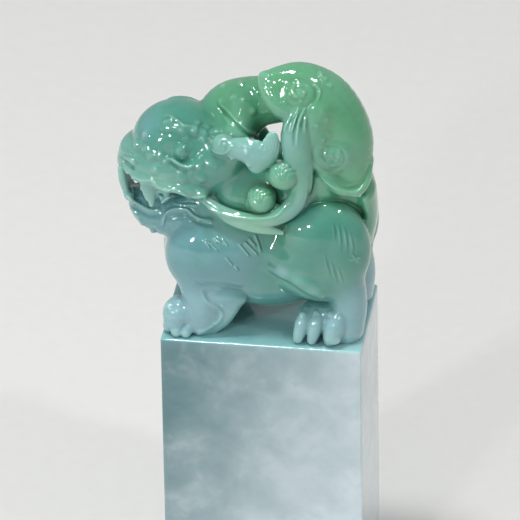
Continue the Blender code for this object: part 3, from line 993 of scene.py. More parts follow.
            carving.engrave(
                [*lip, (-12.8, 7, 24.6), (-11.6, 7, 24.0), (-10.5, 7, 23.4), (-8.2, 7, 23.8)], -0.3, 0.4, side, 4
            )
            gum = [
                (-20.8, 2.5, 20.3, 0.5), (-19.6, 4, 20.5), (-18.2, 4.8, 20.2), (-16.8, 5.4, 19.9),
                (-15.4, 6, 20.4, 0.4),
            ]
            carving.engrave(gum, -0.4, 0.42, side, span=3)
            carving.engrave(moved(gum, 0, -1.0), 0.16, 0.4, side, span=3)
            for x, z in ((-20.1, 20.2), (-19.2, 20.5), (-18.2, 20.3), (-17.2, 20.0)):
                carving.engrave([(x, 4.3, z + 0.6), (x + 0.1, 4.3, z - 0.5)], 0.22, 0.2, side, span=3)
            for line in (
                [(-20.9, 2, 26.9), (-19.6, 3, 27.4), (-18.6, 4, 26.9)],
                [(-21.4, 1, 25.9), (-20.3, 3, 26.1), (-19.3, 4, 26.0)],
            ):
                carving.engrave(line, 0.2, 0.35, side, span=3)
            if side is Side.LEFT:
                for rib in range(6):
                    x = 0.6 + 0.4 * rib
                    carving.engrave(
                        [(x - 0.5, 6.6, 31.0, 0.4), (x, 6.6, 33.0), (x + 0.2, 6.6, 35.0, 0.5)], 0.14, 0.15, side
                    )


@dataclass
class Mane:
    """The locks and curls behind the cheeks.

    Attributes:
        curl: The radius of a curl's ball.
        lock: The radius of the beard lock at its middle.
    """

    curl: float = 2.15
    lock: float = 1.2

    def lay(self, carving: Carving) -> None:
        """Lays both sides down."""
        for side in Side:
            self.lay_side(carving, side)

    def lay_side(self, carving: Carving, side: Side) -> None:
        """Lays down one side's beard lock, strand and two curls.

        Args:
            carving: The block of stone that is worked on.
            side: The side that is worked on.
        """
        block, left = carving.block, side is Side.LEFT
        lock = Clay(block, "beard_lock", "jade_green", Shade.SPRING, 0.2, side)
        route = [(-6.6, 6.8, 21.2, 0.5), (-3.8, 7.6, 20.4, 1.0), (-0.2, 7.9, 19.9, self.lock), (3.2, 7.8, 18.9, 0.35)]
        lock.strand(route, (1, 0.7, 1))
        lock.strand([(-1.6, 6.0, 22.3, 0.9), (0.2, 6.4, 21.9, 1.1), (2.2, 6.5, 22.2, 0.9)], (1, 0.7, 1), soft=0.8)
        carving.lay(lock)
        strand = Clay(block, "mane_strand", "jade_teal", Shade.SEA, 0.3, side)
        sweep = [(-8.8, 6.2, 23.1, 0.7), (-5.4, 7.2, 21.5, 0.9), (-1.2, 7.9, 20.9, 0.95), (1.8, 8.0, 21.3, 1.1)]
        rise = [(4.0, 7.6, 22.6, 1.4), (5.6, 7.1, 24.8, 1.5), (6.1, 6.6, 27.6, 1.6), (5.5, 6.1, 31.0, 2.2)]
        strand.strand(
            [*sweep, *rise, (5.2, 5.7, 34.2, 2.3), (5.3, 5.1, 36.8, 2.1), (5.9, 4.7, 38.9, 1.3)], (1, 0.8, 1)
        )
        carving.lay(strand)
        front = Clay(block, "mane_curl_front", "jade_green", Shade.GREEN, 0.15, side)
        carving.lay(front.ball((0.1, 6.6, 23.9 if left else 23.4), self.curl))
        rear = Clay(block, "mane_curl_rear", "jade_green", Shade.GREEN, 0.2, side)
        spot = (3.5, 7.0, 28.3) if left else (3.6, 6.4, 25.4)
        rear.ball(spot, (2.25, 2.0, 2.2))
        if left:
            rear.ball((2.6, 5.4, 27.6), (2.2, 2.2, 2.0), soft=0.8)
        carving.lay(rear)

    def finish(self, carving: Carving) -> None:
        """Engraves the hair.

        Args:
            carving: The block of stone that is worked on.
        """
        for side in Side:
            for line in (
                [(5.4, 6.5, 33.4, 0.4), (5.4, 6.5, 34.8), (5.6, 6.5, 36.6), (6.0, 6.5, 38.2), (6.6, 6.5, 39.5, 0.6)],
                [(4.8, 6.5, 36.0, 0.5), (5.1, 6.5, 37.3), (5.7, 6.5, 38.9, 0.5)],
                [(3.5, 6.5, 35.6, 0.5), (3.8, 6.5, 36.8), (4.4, 6.5, 37.9, 0.5)],
                [(6.6, 6.5, 35.6, 0.3), (6.6, 6.5, 37.0), (6.9, 6.5, 38.4, 0.3)],
            ):
                carving.engrave(line, -0.3, 0.3, side, span=3)
                carving.engrave(moved(line, -0.45), 0.22, 0.28, side, span=3)
            inner = [(-7.6, 8, 22.4, 0.5), (-4.9, 8, 21.5), (-1.0, 8, 21.2), (2.3, 8, 21.9), (3.9, 8, 24.0, 0.5)]
            carving.engrave(inner, -0.25, 0.35, side, span=3)
            groove = [(6.4, 8, 22.6, 0.4), (7.1, 8, 24.8), (7.4, 8, 27.4), (7.5, 8, 30.0, 0.5)]
            carving.engrave(groove, 0.2, 0.3, side, span=3)
            for turn in range(4):
                angle = math.radians(25 + 32 * turn)
                for x, rim, dome, tip in (
                    (0.1, (7.6, 24.6), (8.2, 24.4), (8.6, 24.2)),
                    (3.6, (7.8, 29.0), (8.4, 28.8), (8.8, 28.6)),
                ):
                    start = (x + 1.9 * math.cos(angle), rim[0], rim[1] + 1.6 * math.sin(angle))
                    middle = (x + 1.2 * math.cos(angle + 0.5), dome[0], dome[1] + 1.2 * math.sin(angle + 0.5))
                    end = (x + 0.3 * math.cos(angle), *tip)
                    carving.engrave([start, middle, end], 0.14, 0.18, side, span=2)


@dataclass
class Tail:
    """The bushy tail, which stands up, fans out and reaches over the head.

    Attributes:
        fan: The radius of the fan at its widest.
        curl: The radius of the curls on the fan.
        wind: How much of its radius a spiral has lost at its end.
    """

    fan: float = 5.2
    curl: float = 2.5
    wind: float = 0.88

    def lay(self, carving: Carving) -> None:
        """Lays the root, arch and fan down, and the curls on them.

        Args:
            carving: The block of stone that is worked on.
        """
        block = carving.block
        root = Clay(block, "tail_root", "jade_green", Shade.GREEN, 1.0)
        route = [(11.4, 1.6, 12, 3.2), (12.0, 1.6, 17, 3.8), (11.2, 1.0, 23, 4.5), (9.6, 1.2, 28, 4.5)]
        root.strand([*route, (8.6, 2.0, 34, 3.0)])
        root.ball((8.4, -1.8, 26.0), (3.8, 4.2, 4.8), soft=1.5)
        root.strand([(14.6, 0, 14.0, 1.0), (15.2, 0, 18.0, 1.1), (14.9, -0.6, 22.5, 1.2)], (1, 2.4, 1), soft=0.8)
        carving.lay(root)
        arch = Clay(block, "tail_arch", "jade_green", Shade.GREEN, 0.6)
        route = [(5.2, 2.0, 36.2, 3.0), (1.5, 2.4, 35.5, 3.4), (-2.5, 2.9, 34.6, 3.75), (-5.8, 3.4, 33.2, 3.75)]
        arch.strand([*route, (-8.2, 3.3, 31.0, 3.2)])
        arch.strand(
            [(-6.0, 1.0, 31.2, 2.6), (-3.9, 0.8, 32.0, 2.3), (-1.9, 0.9, 33.8, 1.9), (1.2, 1.0, 35.6, 1.9)], soft=1.2
        )
        arch.strand([(-3.9, 1.8, 28.2, 2.2), (-3.5, 1.3, 30.2, 2.1), (-2.7, 1.0, 32.0, 1.7)], soft=1.5)
        arch.strand(
            [(-5.6, -2.8, 28.4, 2.5), (-4.4, -2.6, 30.2, 2.5), (-3.9, -1.4, 32.6, 2.3), (-3.4, 0, 35.0, 2.2)],
            soft=1.8,
        )
        carving.lay(arch)
        fan = Clay(block, "tail_fan", "jade_green", Shade.GREEN, 0.5)
        spine = [
            (13.8, -3.4, 25.2, 1.4), (12.2, -1.8, 27.6, 3.4), (10.6, -0.8, 32.0, self.fan), (8.6, -0.8, 37.0, 4.9),
        ]
        fan.strand([*spine, (5.8, -1.4, 39.9, 4.1), (3.2, -2.0, 41.0, 2.9), (1.0, -2.6, 41.7, 1.6)], (1, 0.85, 1))
        fan.strand(
            [(0.4, -2.6, 42.2, 0.7), (1.2, -3.2, 40.4, 1.7), (2.8, -3.6, 38.7, 2.2), (4.6, -3.8, 37.8, 2.2)], soft=0.8
        )
        fan.strand(
            [(-0.1, -2.4, 42.4, 0.5), (0.3, -2.9, 41.0, 0.6), (1.4, -3.4, 39.2, 0.6), (2.6, -3.7, 37.9, 0.5)],
            soft=0.5,
        )
        fan.strand([(7.9, -3.9, 38.0, 2.2), (7.6, -4.3, 34.4, 2.1), (7.9, -4.6, 30.4, 1.8)], soft=1.4)
        fan.strand(
            [(8.6, -4.4, 29.6, 1.3), (9.8, -4.9, 27.0, 1.2), (11.6, -5.0, 25.4, 1.0), (13.6, -4.6, 24.8, 0.7)],
            soft=1.2,
        )
        fan.strand([(13.4, -4.4, 24.8, 0.6), (14.9, -3.2, 25.9, 0.7), (15.2, -1.6, 28.4, 0.7)], soft=0.8)
        carving.lay(fan)
        top = Clay(block, "tail_top_curl", "jade_green", Shade.GREEN, 0.8)
        top.ball((5.6, -3.9, 40.4), (self.curl, 1.7, 2.2))
        carving.lay(top)
        lower = Clay(block, "tail_side_curl", "jade_green", Shade.SEA, 0.8)
        lower.ball((10.4, -4.3, 30.9), (self.curl + 0.3, 1.5, 2.6))
        carving.lay(lower)

    def spiral(self, centre: Place, radius: float, turns: float, start: float) -> list[tuple[float, ...]]:
        """Works out the route of a spiral that winds in to its centre.

        Args:
            centre: Its centre, as x, out and z.
            radius: The radius at which it starts.
            turns: How many times it goes round.
            start: The angle at which it starts, in degrees.

        Returns:
            The route, as rows of x, out, z and the share of the depth.
        """
        steps = int(turns * 10)
        rows = []
        for step in range(steps + 1):
            part = step / steps
            angle = math.radians(start) + part * turns * math.tau
            reach = radius * (1 - self.wind * part)
            rows.append((centre[0] + reach * math.cos(angle), centre[1], centre[2] + reach * math.sin(angle), 1.0))
        return rows

    def finish(self, carving: Carving) -> None:
        """Engraves the curls and the hair of the fan.

        Args:
            carving: The block of stone that is worked on.
        """
        left = Side.LEFT
        carving.engrave(self.spiral((5.6, 5, 41.6), 2.7, 1.8, -60), 0.13, 0.34, left, span=3, steps=2)
        carving.engrave(self.spiral((10.3, 5.5, 31.3), 2.8, 1.8, 150), 0.13, 0.34, left, span=3, steps=2)
        carving.engrave([(8.0, 5, 43.0, 0.4), (8.7, 5, 42.0), (8.4, 5, 40.4, 0.4)], -0.3, 0.3, left, span=3)
        carving.engrave(
            [(10.5, 5, 26.6, 0.4), (12.4, 5, 25.6), (14.6, 4.5, 26.2), (15.6, 3, 28.6, 0.5)], 0.3, 0.45, left
        )
        carving.engrave([(8.9, 6, 27.8, 0.4), (10.0, 6, 26.6), (11.4, 6, 25.7, 0.4)], -0.25, 0.3, left, span=3)
        carving.engrave(
            [(9.6, 5, 42.6, 0.3), (11.8, 4, 40.2), (13.4, 3, 36.8), (14.4, 2, 33.2, 0.3)], 0.14, 0.5, left, 4
        )
        seam = [
            (-9.2, 3, 38.1, 0.4), (-7.8, 3, 37.5), (-5.9, 3, 36.1), (-4.4, 3, 34.3), (-2.5, 3, 32.6),
            (-0.6, 3, 31.8, 0.4),
        ]
        carving.engrave(seam, 0.3, 0.35, left, span=4)
        carving.engrave(moved(seam, 0.35, 0.5), -0.16, 0.3, left, span=4)
        arch = ((-6.0, 39.1), (-3.5, 39.7), (-1.7, 39.1), (-1.1, 38.3), (-4.6, 37.3), (-3.3, 36.9))
        for x, z in (*arch, (-6.4, 36.6), (-1.9, 35.4)):
            carving.bead((x, 1, z), 0.6, left, 0.75, 0.4)
        for x, z in ((1.0, 43.2), (1.5, 41.4), (8.6, 44.1), (9.2, 43.4), (9.9, 42.3), (3.3, 39.1), (4.2, 40.4)):
            carving.bead((x, 4, z), 0.5, left, 0.75, 0.3)
        for step in range(7):
            x, z = 8.7 + 0.9 * math.sin(2.4 * step) + 0.1 * step, 38.2 - 1.2 * step
            carving.bead((x, 4.5, z), 0.4, left, 0.8, 0.4)
        for angle in range(0, 360, 40):
            spin = math.radians(angle)
            reach = 1.5 if angle % 80 else 0.9
            for (x, out, z), radius in (((5.6, 5, 41.6), 0.34), ((10.3, 5.5, 31.3), 0.36)):
                place = (x + reach * math.cos(spin), out, z + reach * math.sin(spin))
                carving.bead(place, radius, left, sunk=0.75)
        right = Side.RIGHT
        for lift in range(5):
            x, z = 12.4 - 0.6 * lift, 21 + 3.8 * lift
            carving.engrave(
                [(x, 4, z, 0.2), (x - 1.4, 4.5, z + 3), (x - 3.4, 4.5, z + 5.4, 0.2)], 0.25, 0.45, right, span=3
            )


@dataclass
class Column:
    """The square-edged column of pale stone that the beast stands on.

    Attributes:
        bevel: The width of the bevel along its edges.
        wave: How far its polished faces stray from flat.
        ripples: How fast they wave along X, Y and Z, in radians to the metre.
        cuts: How many cuts divide each face to let it wave.
        flat: The length of the shortest edge that is cut.
    """

    bevel: float = 0.3
    wave: float = 0.05
    ripples: Place = (310, 220, 260)
    cuts: int = 28
    flat: float = 5.0

    def build(self) -> bpy.types.Object:
        """Builds the column where its CAD node is.

        Returns:
            The column, not dressed yet.
        """
        low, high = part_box("seal_block")
        middle = (low + high) / 2
        mesh = bpy.data.meshes.new("seal_block_jade")
        form = bmesh.new()
        placed = Matrix.Translation(middle) @ Matrix.Diagonal((*(high - low), 1))
        bmesh.ops.create_cube(form, size=1, matrix=placed)
        bmesh.ops.bevel(form, geom=form.edges[:], offset=self.bevel * MM, segments=3, profile=0.5, affect="EDGES")
        flats = [edge for edge in form.edges if edge.calc_length() > self.flat * MM]
        bmesh.ops.subdivide_edges(form, edges=flats, cuts=self.cuts, use_grid_fill=True)
        for vert in form.verts:
            away = vert.co - middle
            x, y, z = (rate * length for rate, length in zip(self.ripples, vert.co))
            swell = math.sin(x + 2) * math.sin(z) * math.cos(y + 1)
            vert.co -= away.normalized() * self.wave * MM * (0.5 + 0.5 * swell)
        form.normal_update()
        form.to_mesh(mesh)
        form.free()
        piece = bpy.data.objects.new(mesh.name, mesh)
        bpy.context.scene.collection.objects.link(piece)
        mesh.shade_smooth()
        return piece


@dataclass(frozen=True)
class Signal:
    """One output of a shader node, which arithmetic turns into Math nodes."""

    shader: "Shader"
    socket: bpy.types.NodeSocket

    def math(self, operation: str, first: Value, second: Value) -> "Signal":
        """Adds a Math node of an operation on two values."""
        return self.shader.node("ShaderNodeMath", {"operation": operation}, {0: first, 1: second})

    def __add__(self, other: Value) -> "Signal":
        """The sum."""
        return self.math("ADD", self, other)

    def __radd__(self, other: Value) -> "Signal":
        """The sum, with the value first."""
        return self.math("ADD", other, self)

    def __sub__(self, other: Value) -> "Signal":
        """The difference."""
        return self.math("SUBTRACT", self, other)

    def __rsub__(self, other: Value) -> "Signal":
        """The difference, with the value first."""
        return self.math("SUBTRACT", other, self)

    def __mul__(self, other: Value) -> "Signal":
        """The product."""
        return self.math("MULTIPLY", self, other)

    def __rmul__(self, other: Value) -> "Signal":
        """The product, with the value first."""
        return self.math("MULTIPLY", other, self)

    def clamp(self) -> "Signal":
        """The value, held between 0 and 1."""
        return self.shader.node("ShaderNodeClamp", {}, {"Value": self})

    def above(self, start: float, gain: float) -> "Signal":
        """How far the value is above a start, times a gain, held between 0 and 1."""
        return ((self - start) * gain).clamp()

    def below(self, start: float, gain: float) -> "Signal":
        """How far the value is below a start, times a gain, held between 0 and 1."""
        return ((start - self) * gain).clamp()

    def other(self, output: int) -> "Signal":
        """Another output of the same node."""
        return Signal(self.shader, self.socket.node.outputs[output])


class Shader:
    """A material's node tree, with one method that makes any node."""

    def __init__(self, name: str) -> None:
        """Starts an empty material."""
        self.material = bpy.data.materials.new(name)
        self.material.use_nodes = True
        self.tree = self.material.node_tree
        self.tree.nodes.clear()

    def node(
        self,
        kind: str,
        settings: dict[str, Any] | None = None,
        inputs: dict[Any, Value] | None = None,
        output: Any = 0,
    ) -> Signal:
        """Makes a node.

        Args:
            kind: The node's type.
            settings: Its settings, which are made first.
            inputs: The values or links of its sockets, by name or number.
            output: The socket that is given back.

        Returns:
            The chosen output.
        """
        made = self.tree.nodes.new(kind)
        for name, value in (settings or {}).items():
            setattr(made, name, value)
        for name, value in (inputs or {}).items():
            if isinstance(value, Signal):
                self.tree.links.new(value.socket, made.inputs[name])
            else:
                made.inputs[name].default_value = value
        return Signal(self, made.outputs[output] if len(made.outputs) else made.inputs[0])

    def blend(self, factor: Value, first: Value, second: Value, mode: str = "MIX") -> Signal:
        """Mixes two colours.

        Args:
            factor: The share of the second colour.
            first: The first colour.
            second: The second colour.
            mode: How the second is laid over the first.

        Returns:
            The mixed colour.
        """
        settings = {"data_type": "RGBA", "blend_type": mode}
        return self.node("ShaderNodeMix", settings, {0: factor, 6: first, 7: second}, 2)

    def noise(self, scale: float, detail: float, place: Signal, twist: float = 0.0) -> Signal:
        """Makes a cloudy pattern.

        Args:
            scale: How many patches there are to the metre.
            detail: How many finer layers are laid over them.
            place: Where the pattern is looked up.
            twist: How strongly it is swirled.

        Returns:
            Values around 0.5.
        """
        inputs = {"Vector": place, "Scale": scale, "Detail": detail, "Roughness": 0.55, "Distortion": twist}
        return self.node("ShaderNodeTexNoise", {}, inputs, "Fac")

    def bump(self, strength: float, distance: float, height: Signal) -> Signal:
        """Makes the surface uneven.

        Args:
            strength: How strongly the bumps show.
            distance: Their height, in metres.
            height: Their pattern.

        Returns:
            The direction that the surface faces.
        """
        return self.node("ShaderNodeBump", {}, {"Strength": strength, "Distance": distance, "Height": height})

    def surface(self, inputs: dict[str, Value], settings: dict[str, Any] | None = None) -> bpy.types.Material:
        """Ends the material with its surface.

        Args:
            inputs: The values or links of the Principled node's sockets.
            settings: Its settings.

        Returns:
            The finished material.
        """
        skin = self.node("ShaderNodeBsdfPrincipled", settings, inputs)
        self.node("ShaderNodeOutputMaterial", {}, {"Surface": skin})
        return self.material

    def stone(self, inputs: dict[str, Value]) -> bpy.types.Material:
        """Ends the material as polished stone that light wanders through.

        Args:
            inputs: The values or links of the Principled node's sockets that differ between stones.

        Returns:
            The finished material.
        """
        return self.surface({**inputs, "IOR": JADE_IOR, "Coat Roughness": 0.03}, {"subsurface_method": "RANDOM_WALK"})


@dataclass(frozen=True)
class Jade:
    """Polished jadeite: clouds of colour inside the stone under a hard wet-looking gloss.

    Attributes:
        name: The record's material slot.
        gloss: The roughness of the polished surface.
        cloud: How strongly the milky clouds show.
        depth: How strongly the painted shade darkens creases.
        glow: How strongly the painted light brightens thin edges, as light that shines through the stone.
        scatter: The share of the light that is scattered inside the stone.
        drift: The tone that slow drifts of green multiply it by.
        milk: The colour of the milky clouds.
        crease: The painted shade that the colour of a deep crease is multiplied by.
        groove: The painted shade that the colour of an engraved groove is multiplied by.
        edge: The painted light on a thin edge, where light shines through the stone.
        ridge: The painted highlight on a fine raised ridge.
        speck: The colour of the rare specks.
    """

    name: str
    gloss: float = 0.05
    cloud: float = 0.35
    depth: float = 0.6
    glow: float = 0.75
    scatter: float = 0.6
    drift: Colour = (0.62, 0.86, 0.80, 1)
    milk: Colour = (0.20, 0.44, 0.35, 1)
    crease: Colour = (0.16, 0.52, 0.36, 1)
    groove: Colour = (0.30, 0.62, 0.48, 1)
    edge: Colour = (0.31, 0.53, 0.47, 1)
    ridge: Colour = (0.34, 0.58, 0.47, 1)
    speck: Colour = (0.72, 0.32, 0.06, 1)

    def make(self) -> bpy.types.Material:
        """Makes the material.

        Returns:
            The material.
        """
        shader = Shader(self.name)
        place = shader.node("ShaderNodeTexCoord", output="Object")
        tint = shader.node("ShaderNodeAttribute", {"attribute_name": "tint"}, output="Color")
        mass = shader.node("ShaderNodeAttribute", {"attribute_name": "mass"}, output="Fac")
        relief = shader.node("ShaderNodeAttribute", {"attribute_name": "relief"}, output="Fac")
        specks = ((shader.noise(900, 2, place) - 0.5) * 0.25 + (shader.noise(210, 2, place) - 0.765) * 9).clamp()
        colour = tint
        for factor, paint, mode in (
            (shader.noise(150, 4, place, 0.5).above(0.5, 4) * 0.7, self.drift, "MULTIPLY"),
            (shader.noise(210, 4, place, 0.2).above(0.48, 3.5) * self.cloud * 0.5, self.milk, "MIX"),
            # Painted shade: creases, where much stone lies round a place, are darkened.
            (mass.above(0.56, 3.4) * self.depth, self.crease, "MULTIPLY"),
            # Painted shade: engraved grooves are darkened.
            (relief.above(0.54, 4.0) * 0.5, self.groove, "MULTIPLY"),
            # Painted light: thin edges and tips are brightened, as light that shines through the stone.
            (mass.below(0.44, 3.2) * self.glow * 0.45, self.edge, "MIX"),
            # Painted highlight: fine raised ridges are made paler.
            (relief.below(0.45, 4.0) * 0.40, self.ridge, "MIX"),
            (specks * 0.8, self.speck, "MIX"),
        ):
            colour = shader.blend(factor, colour, paint, mode)
        ripple = shader.noise(420, 2, place) * 0.8 + shader.noise(1500, 3, place) * 0.12
        return shader.stone(
            {
                "Base Color": colour,
                "Roughness": self.gloss + shader.noise(700, 3, place) * 0.06,
                "Normal": shader.bump(0.35, 0.00022, ripple),
                "Subsurface Weight": self.scatter,
                "Subsurface Radius": (0.7, 1.0, 0.85),
                "Subsurface Scale": 0.001,
                "Coat Weight": 0.5,
                "Sheen Weight": 0.12,
                "Sheen Roughness": 0.3,
                "Sheen Tint": (0.80, 1.0, 0.92, 1),
            }
        )


@dataclass(frozen=True)
class IceJade:
    """The column's paler stone: icy, with white mottling and a bluish tone.

    Attributes:
        name: The record's material slot.
        gloss: The roughness of the polished surface.
        deep: The colour at the side of the beast's head.
        pale: The colour at the side of its tail.
        white: The colour of the mottling.
        dark: The colour of the dim wisps.
        top: The deeper teal painted on the column's upper face as its shade.
    """

    name: str
    gloss: float = 0.09
    deep: Colour = (0.085, 0.185, 0.205, 1)
    pale: Colour = (0.53, 0.61, 0.65, 1)
    white: Colour = (0.62, 0.68, 0.70, 1)
    dark: Colour = (0.14, 0.25, 0.27, 1)
    top: Colour = (0.22, 0.50, 0.51, 1)

    def make(self) -> bpy.types.Material:
        """Makes the material.

        Returns:
            The material.
        """
        shader = Shader(self.name)
        place = shader.node("ShaderNodeTexCoord", output="Object")
        across = shader.node("ShaderNodeSeparateXYZ", {}, {0: place})
        height = across.other(2)
        cloud = shader.noise(140, 3, place, 0.3)
        wisp = shader.noise(430, 5, place, 0.5)
        facing = shader.node("ShaderNodeSeparateXYZ", {}, {0: shader.node("ShaderNodeNewGeometry", output="Normal")})
        along = (0.50 + across * 26 + (0.030 - height) * 12 + (cloud - 0.5) * 0.7).clamp()
        colour = shader.blend(along, self.deep, self.pale)
        colour = shader.blend((cloud * 0.6 + wisp * 0.4).above(0.50, 4) * 0.22, colour, self.white)
        colour = shader.blend(wisp.below(0.46, 4) * 0.16, colour, self.dark)
        # Painted shade: faces that point up are turned towards the deeper teal of the shaded top face.
        colour = shader.blend(facing.other(2).clamp() * 0.7, colour, self.top)
        return shader.stone(
            {
                "Base Color": colour,
                "Roughness": self.gloss + wisp * 0.06,
                "Normal": shader.bump(0.05, 0.00012, shader.noise(1400, 3, place)),
                "Subsurface Weight": 0.4,
                "Subsurface Radius": (0.8, 1.0, 1.0),
                "Subsurface Scale": 0.0015,
                "Coat Weight": 0.3,
            }
        )


@dataclass(frozen=True)
class Paper:
    """The floor's matt paper.

    Attributes:
        name: The material's name.
        grey: The darker tone of its grain.
        pale: The paler tone.
    """

    name: str = "floor_paper"
    grey: Colour = (0.62, 0.62, 0.61, 1)
    pale: Colour = (0.66, 0.66, 0.65, 1)

    def make(self) -> bpy.types.Material:
        """Makes the material.

        Returns:
            The material.
        """
        shader = Shader(self.name)
        place = shader.node("ShaderNodeTexCoord", output="Object")
        grain = shader.blend(shader.noise(400, 3, place), self.grey, self.pale)
        return shader.surface({"Base Color": grain, "Roughness": 0.9})


class Workshop:
    """Parts the finished carving into one object for each member and dresses it.

    Attributes:
        LEAST: The number of faces below which a loose chip is thrown away.
        THINNEST: The least share of stone that a colour is divided by.
    """

    LEAST = 60
    THINNEST = 1e-3

    def __init__(self, carving: Carving, origin: Vector, finishes: dict[str, bpy.types.Material]) -> None:
        """Measures the stone once for all members.

        Args:
            carving: The finished carving.
            origin: The middle of the column's top face, in metres.
            finishes: The material for each of the record's slots.
        """
        self.carving = carving
        self.origin = origin
        self.finishes = finishes
        self.tint = carving.tint()
        self.mass = carving.solid(3, 1.3)
        self.relief = carving.solid(1, 0.28)

    @staticmethod
    def shells(count: int, faces: np.ndarray) -> np.ndarray:
        """Numbers each point of a mesh by the separate shell that it is in.

        Args:
            count: How many points there are.
            faces: The corners of the faces.

        Returns:
            The number of each point's shell.
        """
        label = np.arange(count)
        while True:
            fresh = label.copy()
            np.minimum.at(fresh, faces.ravel(), np.repeat(label[faces].min(1), faces.shape[1]))
            fresh = fresh[fresh]
            if np.array_equal(fresh, label):
                return label
            label = fresh

    def release(self, index: int) -> bpy.types.Object:
        """Makes the object of one member.

        Args:
            index: The member's place in the order in which they were laid down.

        Returns:
            The dressed object, riding on the frame in place of its CAD node.
        """
        clay = self.carving.members[index][0]
        points, faces = self.carving.part(index)
        shell = self.shells(len(points), faces)
        sizes = np.bincount(shell[faces[:, 0]], minlength=len(points))
        faces = faces[sizes[shell[faces[:, 0]]] >= self.LEAST]
        used, faces = np.unique(faces, return_inverse=True)
        faces, points = faces.reshape(-1, 4), points[used]
        mesh = bpy.data.meshes.new(f"{clay.name}_jade")
        mesh.from_pydata((points * MM + np.array(self.origin)).tolist(), [], faces.tolist())
        mesh.shade_smooth()
        tint = self.tint.at(points)
        tint[:, :3] /= np.maximum(tint[:, 3:], self.THINNEST)
        tint[:, 3] = 1
        colours = mesh.attributes.new("tint", "FLOAT_COLOR", "POINT")
        colours.data.foreach_set("color", tint.astype(np.float32).ravel())
        for name, cloud in (("mass", self.mass), ("relief", self.relief)):
            values = mesh.attributes.new(name, "FLOAT", "POINT")
            values.data.foreach_set("value", cloud.at(points)[:, 0].astype(np.float32))
        piece = bpy.data.objects.new(mesh.name, mesh)
        bpy.context.scene.collection.objects.link(piece)
        settle(piece, clay.name, clay.slot, self.finishes[clay.slot])
        return piece


def settle(piece: bpy.types.Object, node: str, slot: str, finish: bpy.types.Material) -> None:
    """Dresses a piece and puts it in the place of its CAD node.

    Args:
        piece: The piece, in the frame.
        node: The CAD node that it stands for.
        slot: The record's material slot.
        finish: Its material.
    """
    piece.data.materials.append(finish)
    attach(piece, "root")
    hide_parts(node)
    LOG.info("%s: %d faces, %s", piece.name, len(piece.data.polygons), slot)


@dataclass(frozen=True)
class Lamp:
    """A softbox that faces the seal.

    Attributes:
        name: Its name.
        way: The direction it stands in.
        size: The length of its sides, in metres.
        power: Its power in watts.
        colour: Its colour.
        distance: How far away it stands, in metres.
        seen: Whether it is mirrored in the polish.
    """

    name: str
    way: Place
    size: float
    power: float
    colour: Place = (1.0, 1.0, 1.0)
    distance: float = 0.62
    seen: bool = True

    def hang(self, target: Vector) -> None:
        """Hangs the softbox.

        Args:
            target: What it faces, in metres.
        """
        lamp = bpy.data.lights.new(self.name, "AREA")
        lamp.shape, lamp.size, lamp.energy, lamp.color = "SQUARE", self.size, self.power, self.colour
        holder = bpy.data.objects.new(self.name, lamp)
        direction = Vector(self.way).normalized()
        holder.location = target + direction * self.distance
        holder.visible_glossy = self.seen
        holder.rotation_mode = "QUATERNION"
        holder.rotation_quaternion = direction.to_track_quat("Z", "Y")
        bpy.context.scene.collection.objects.link(holder)


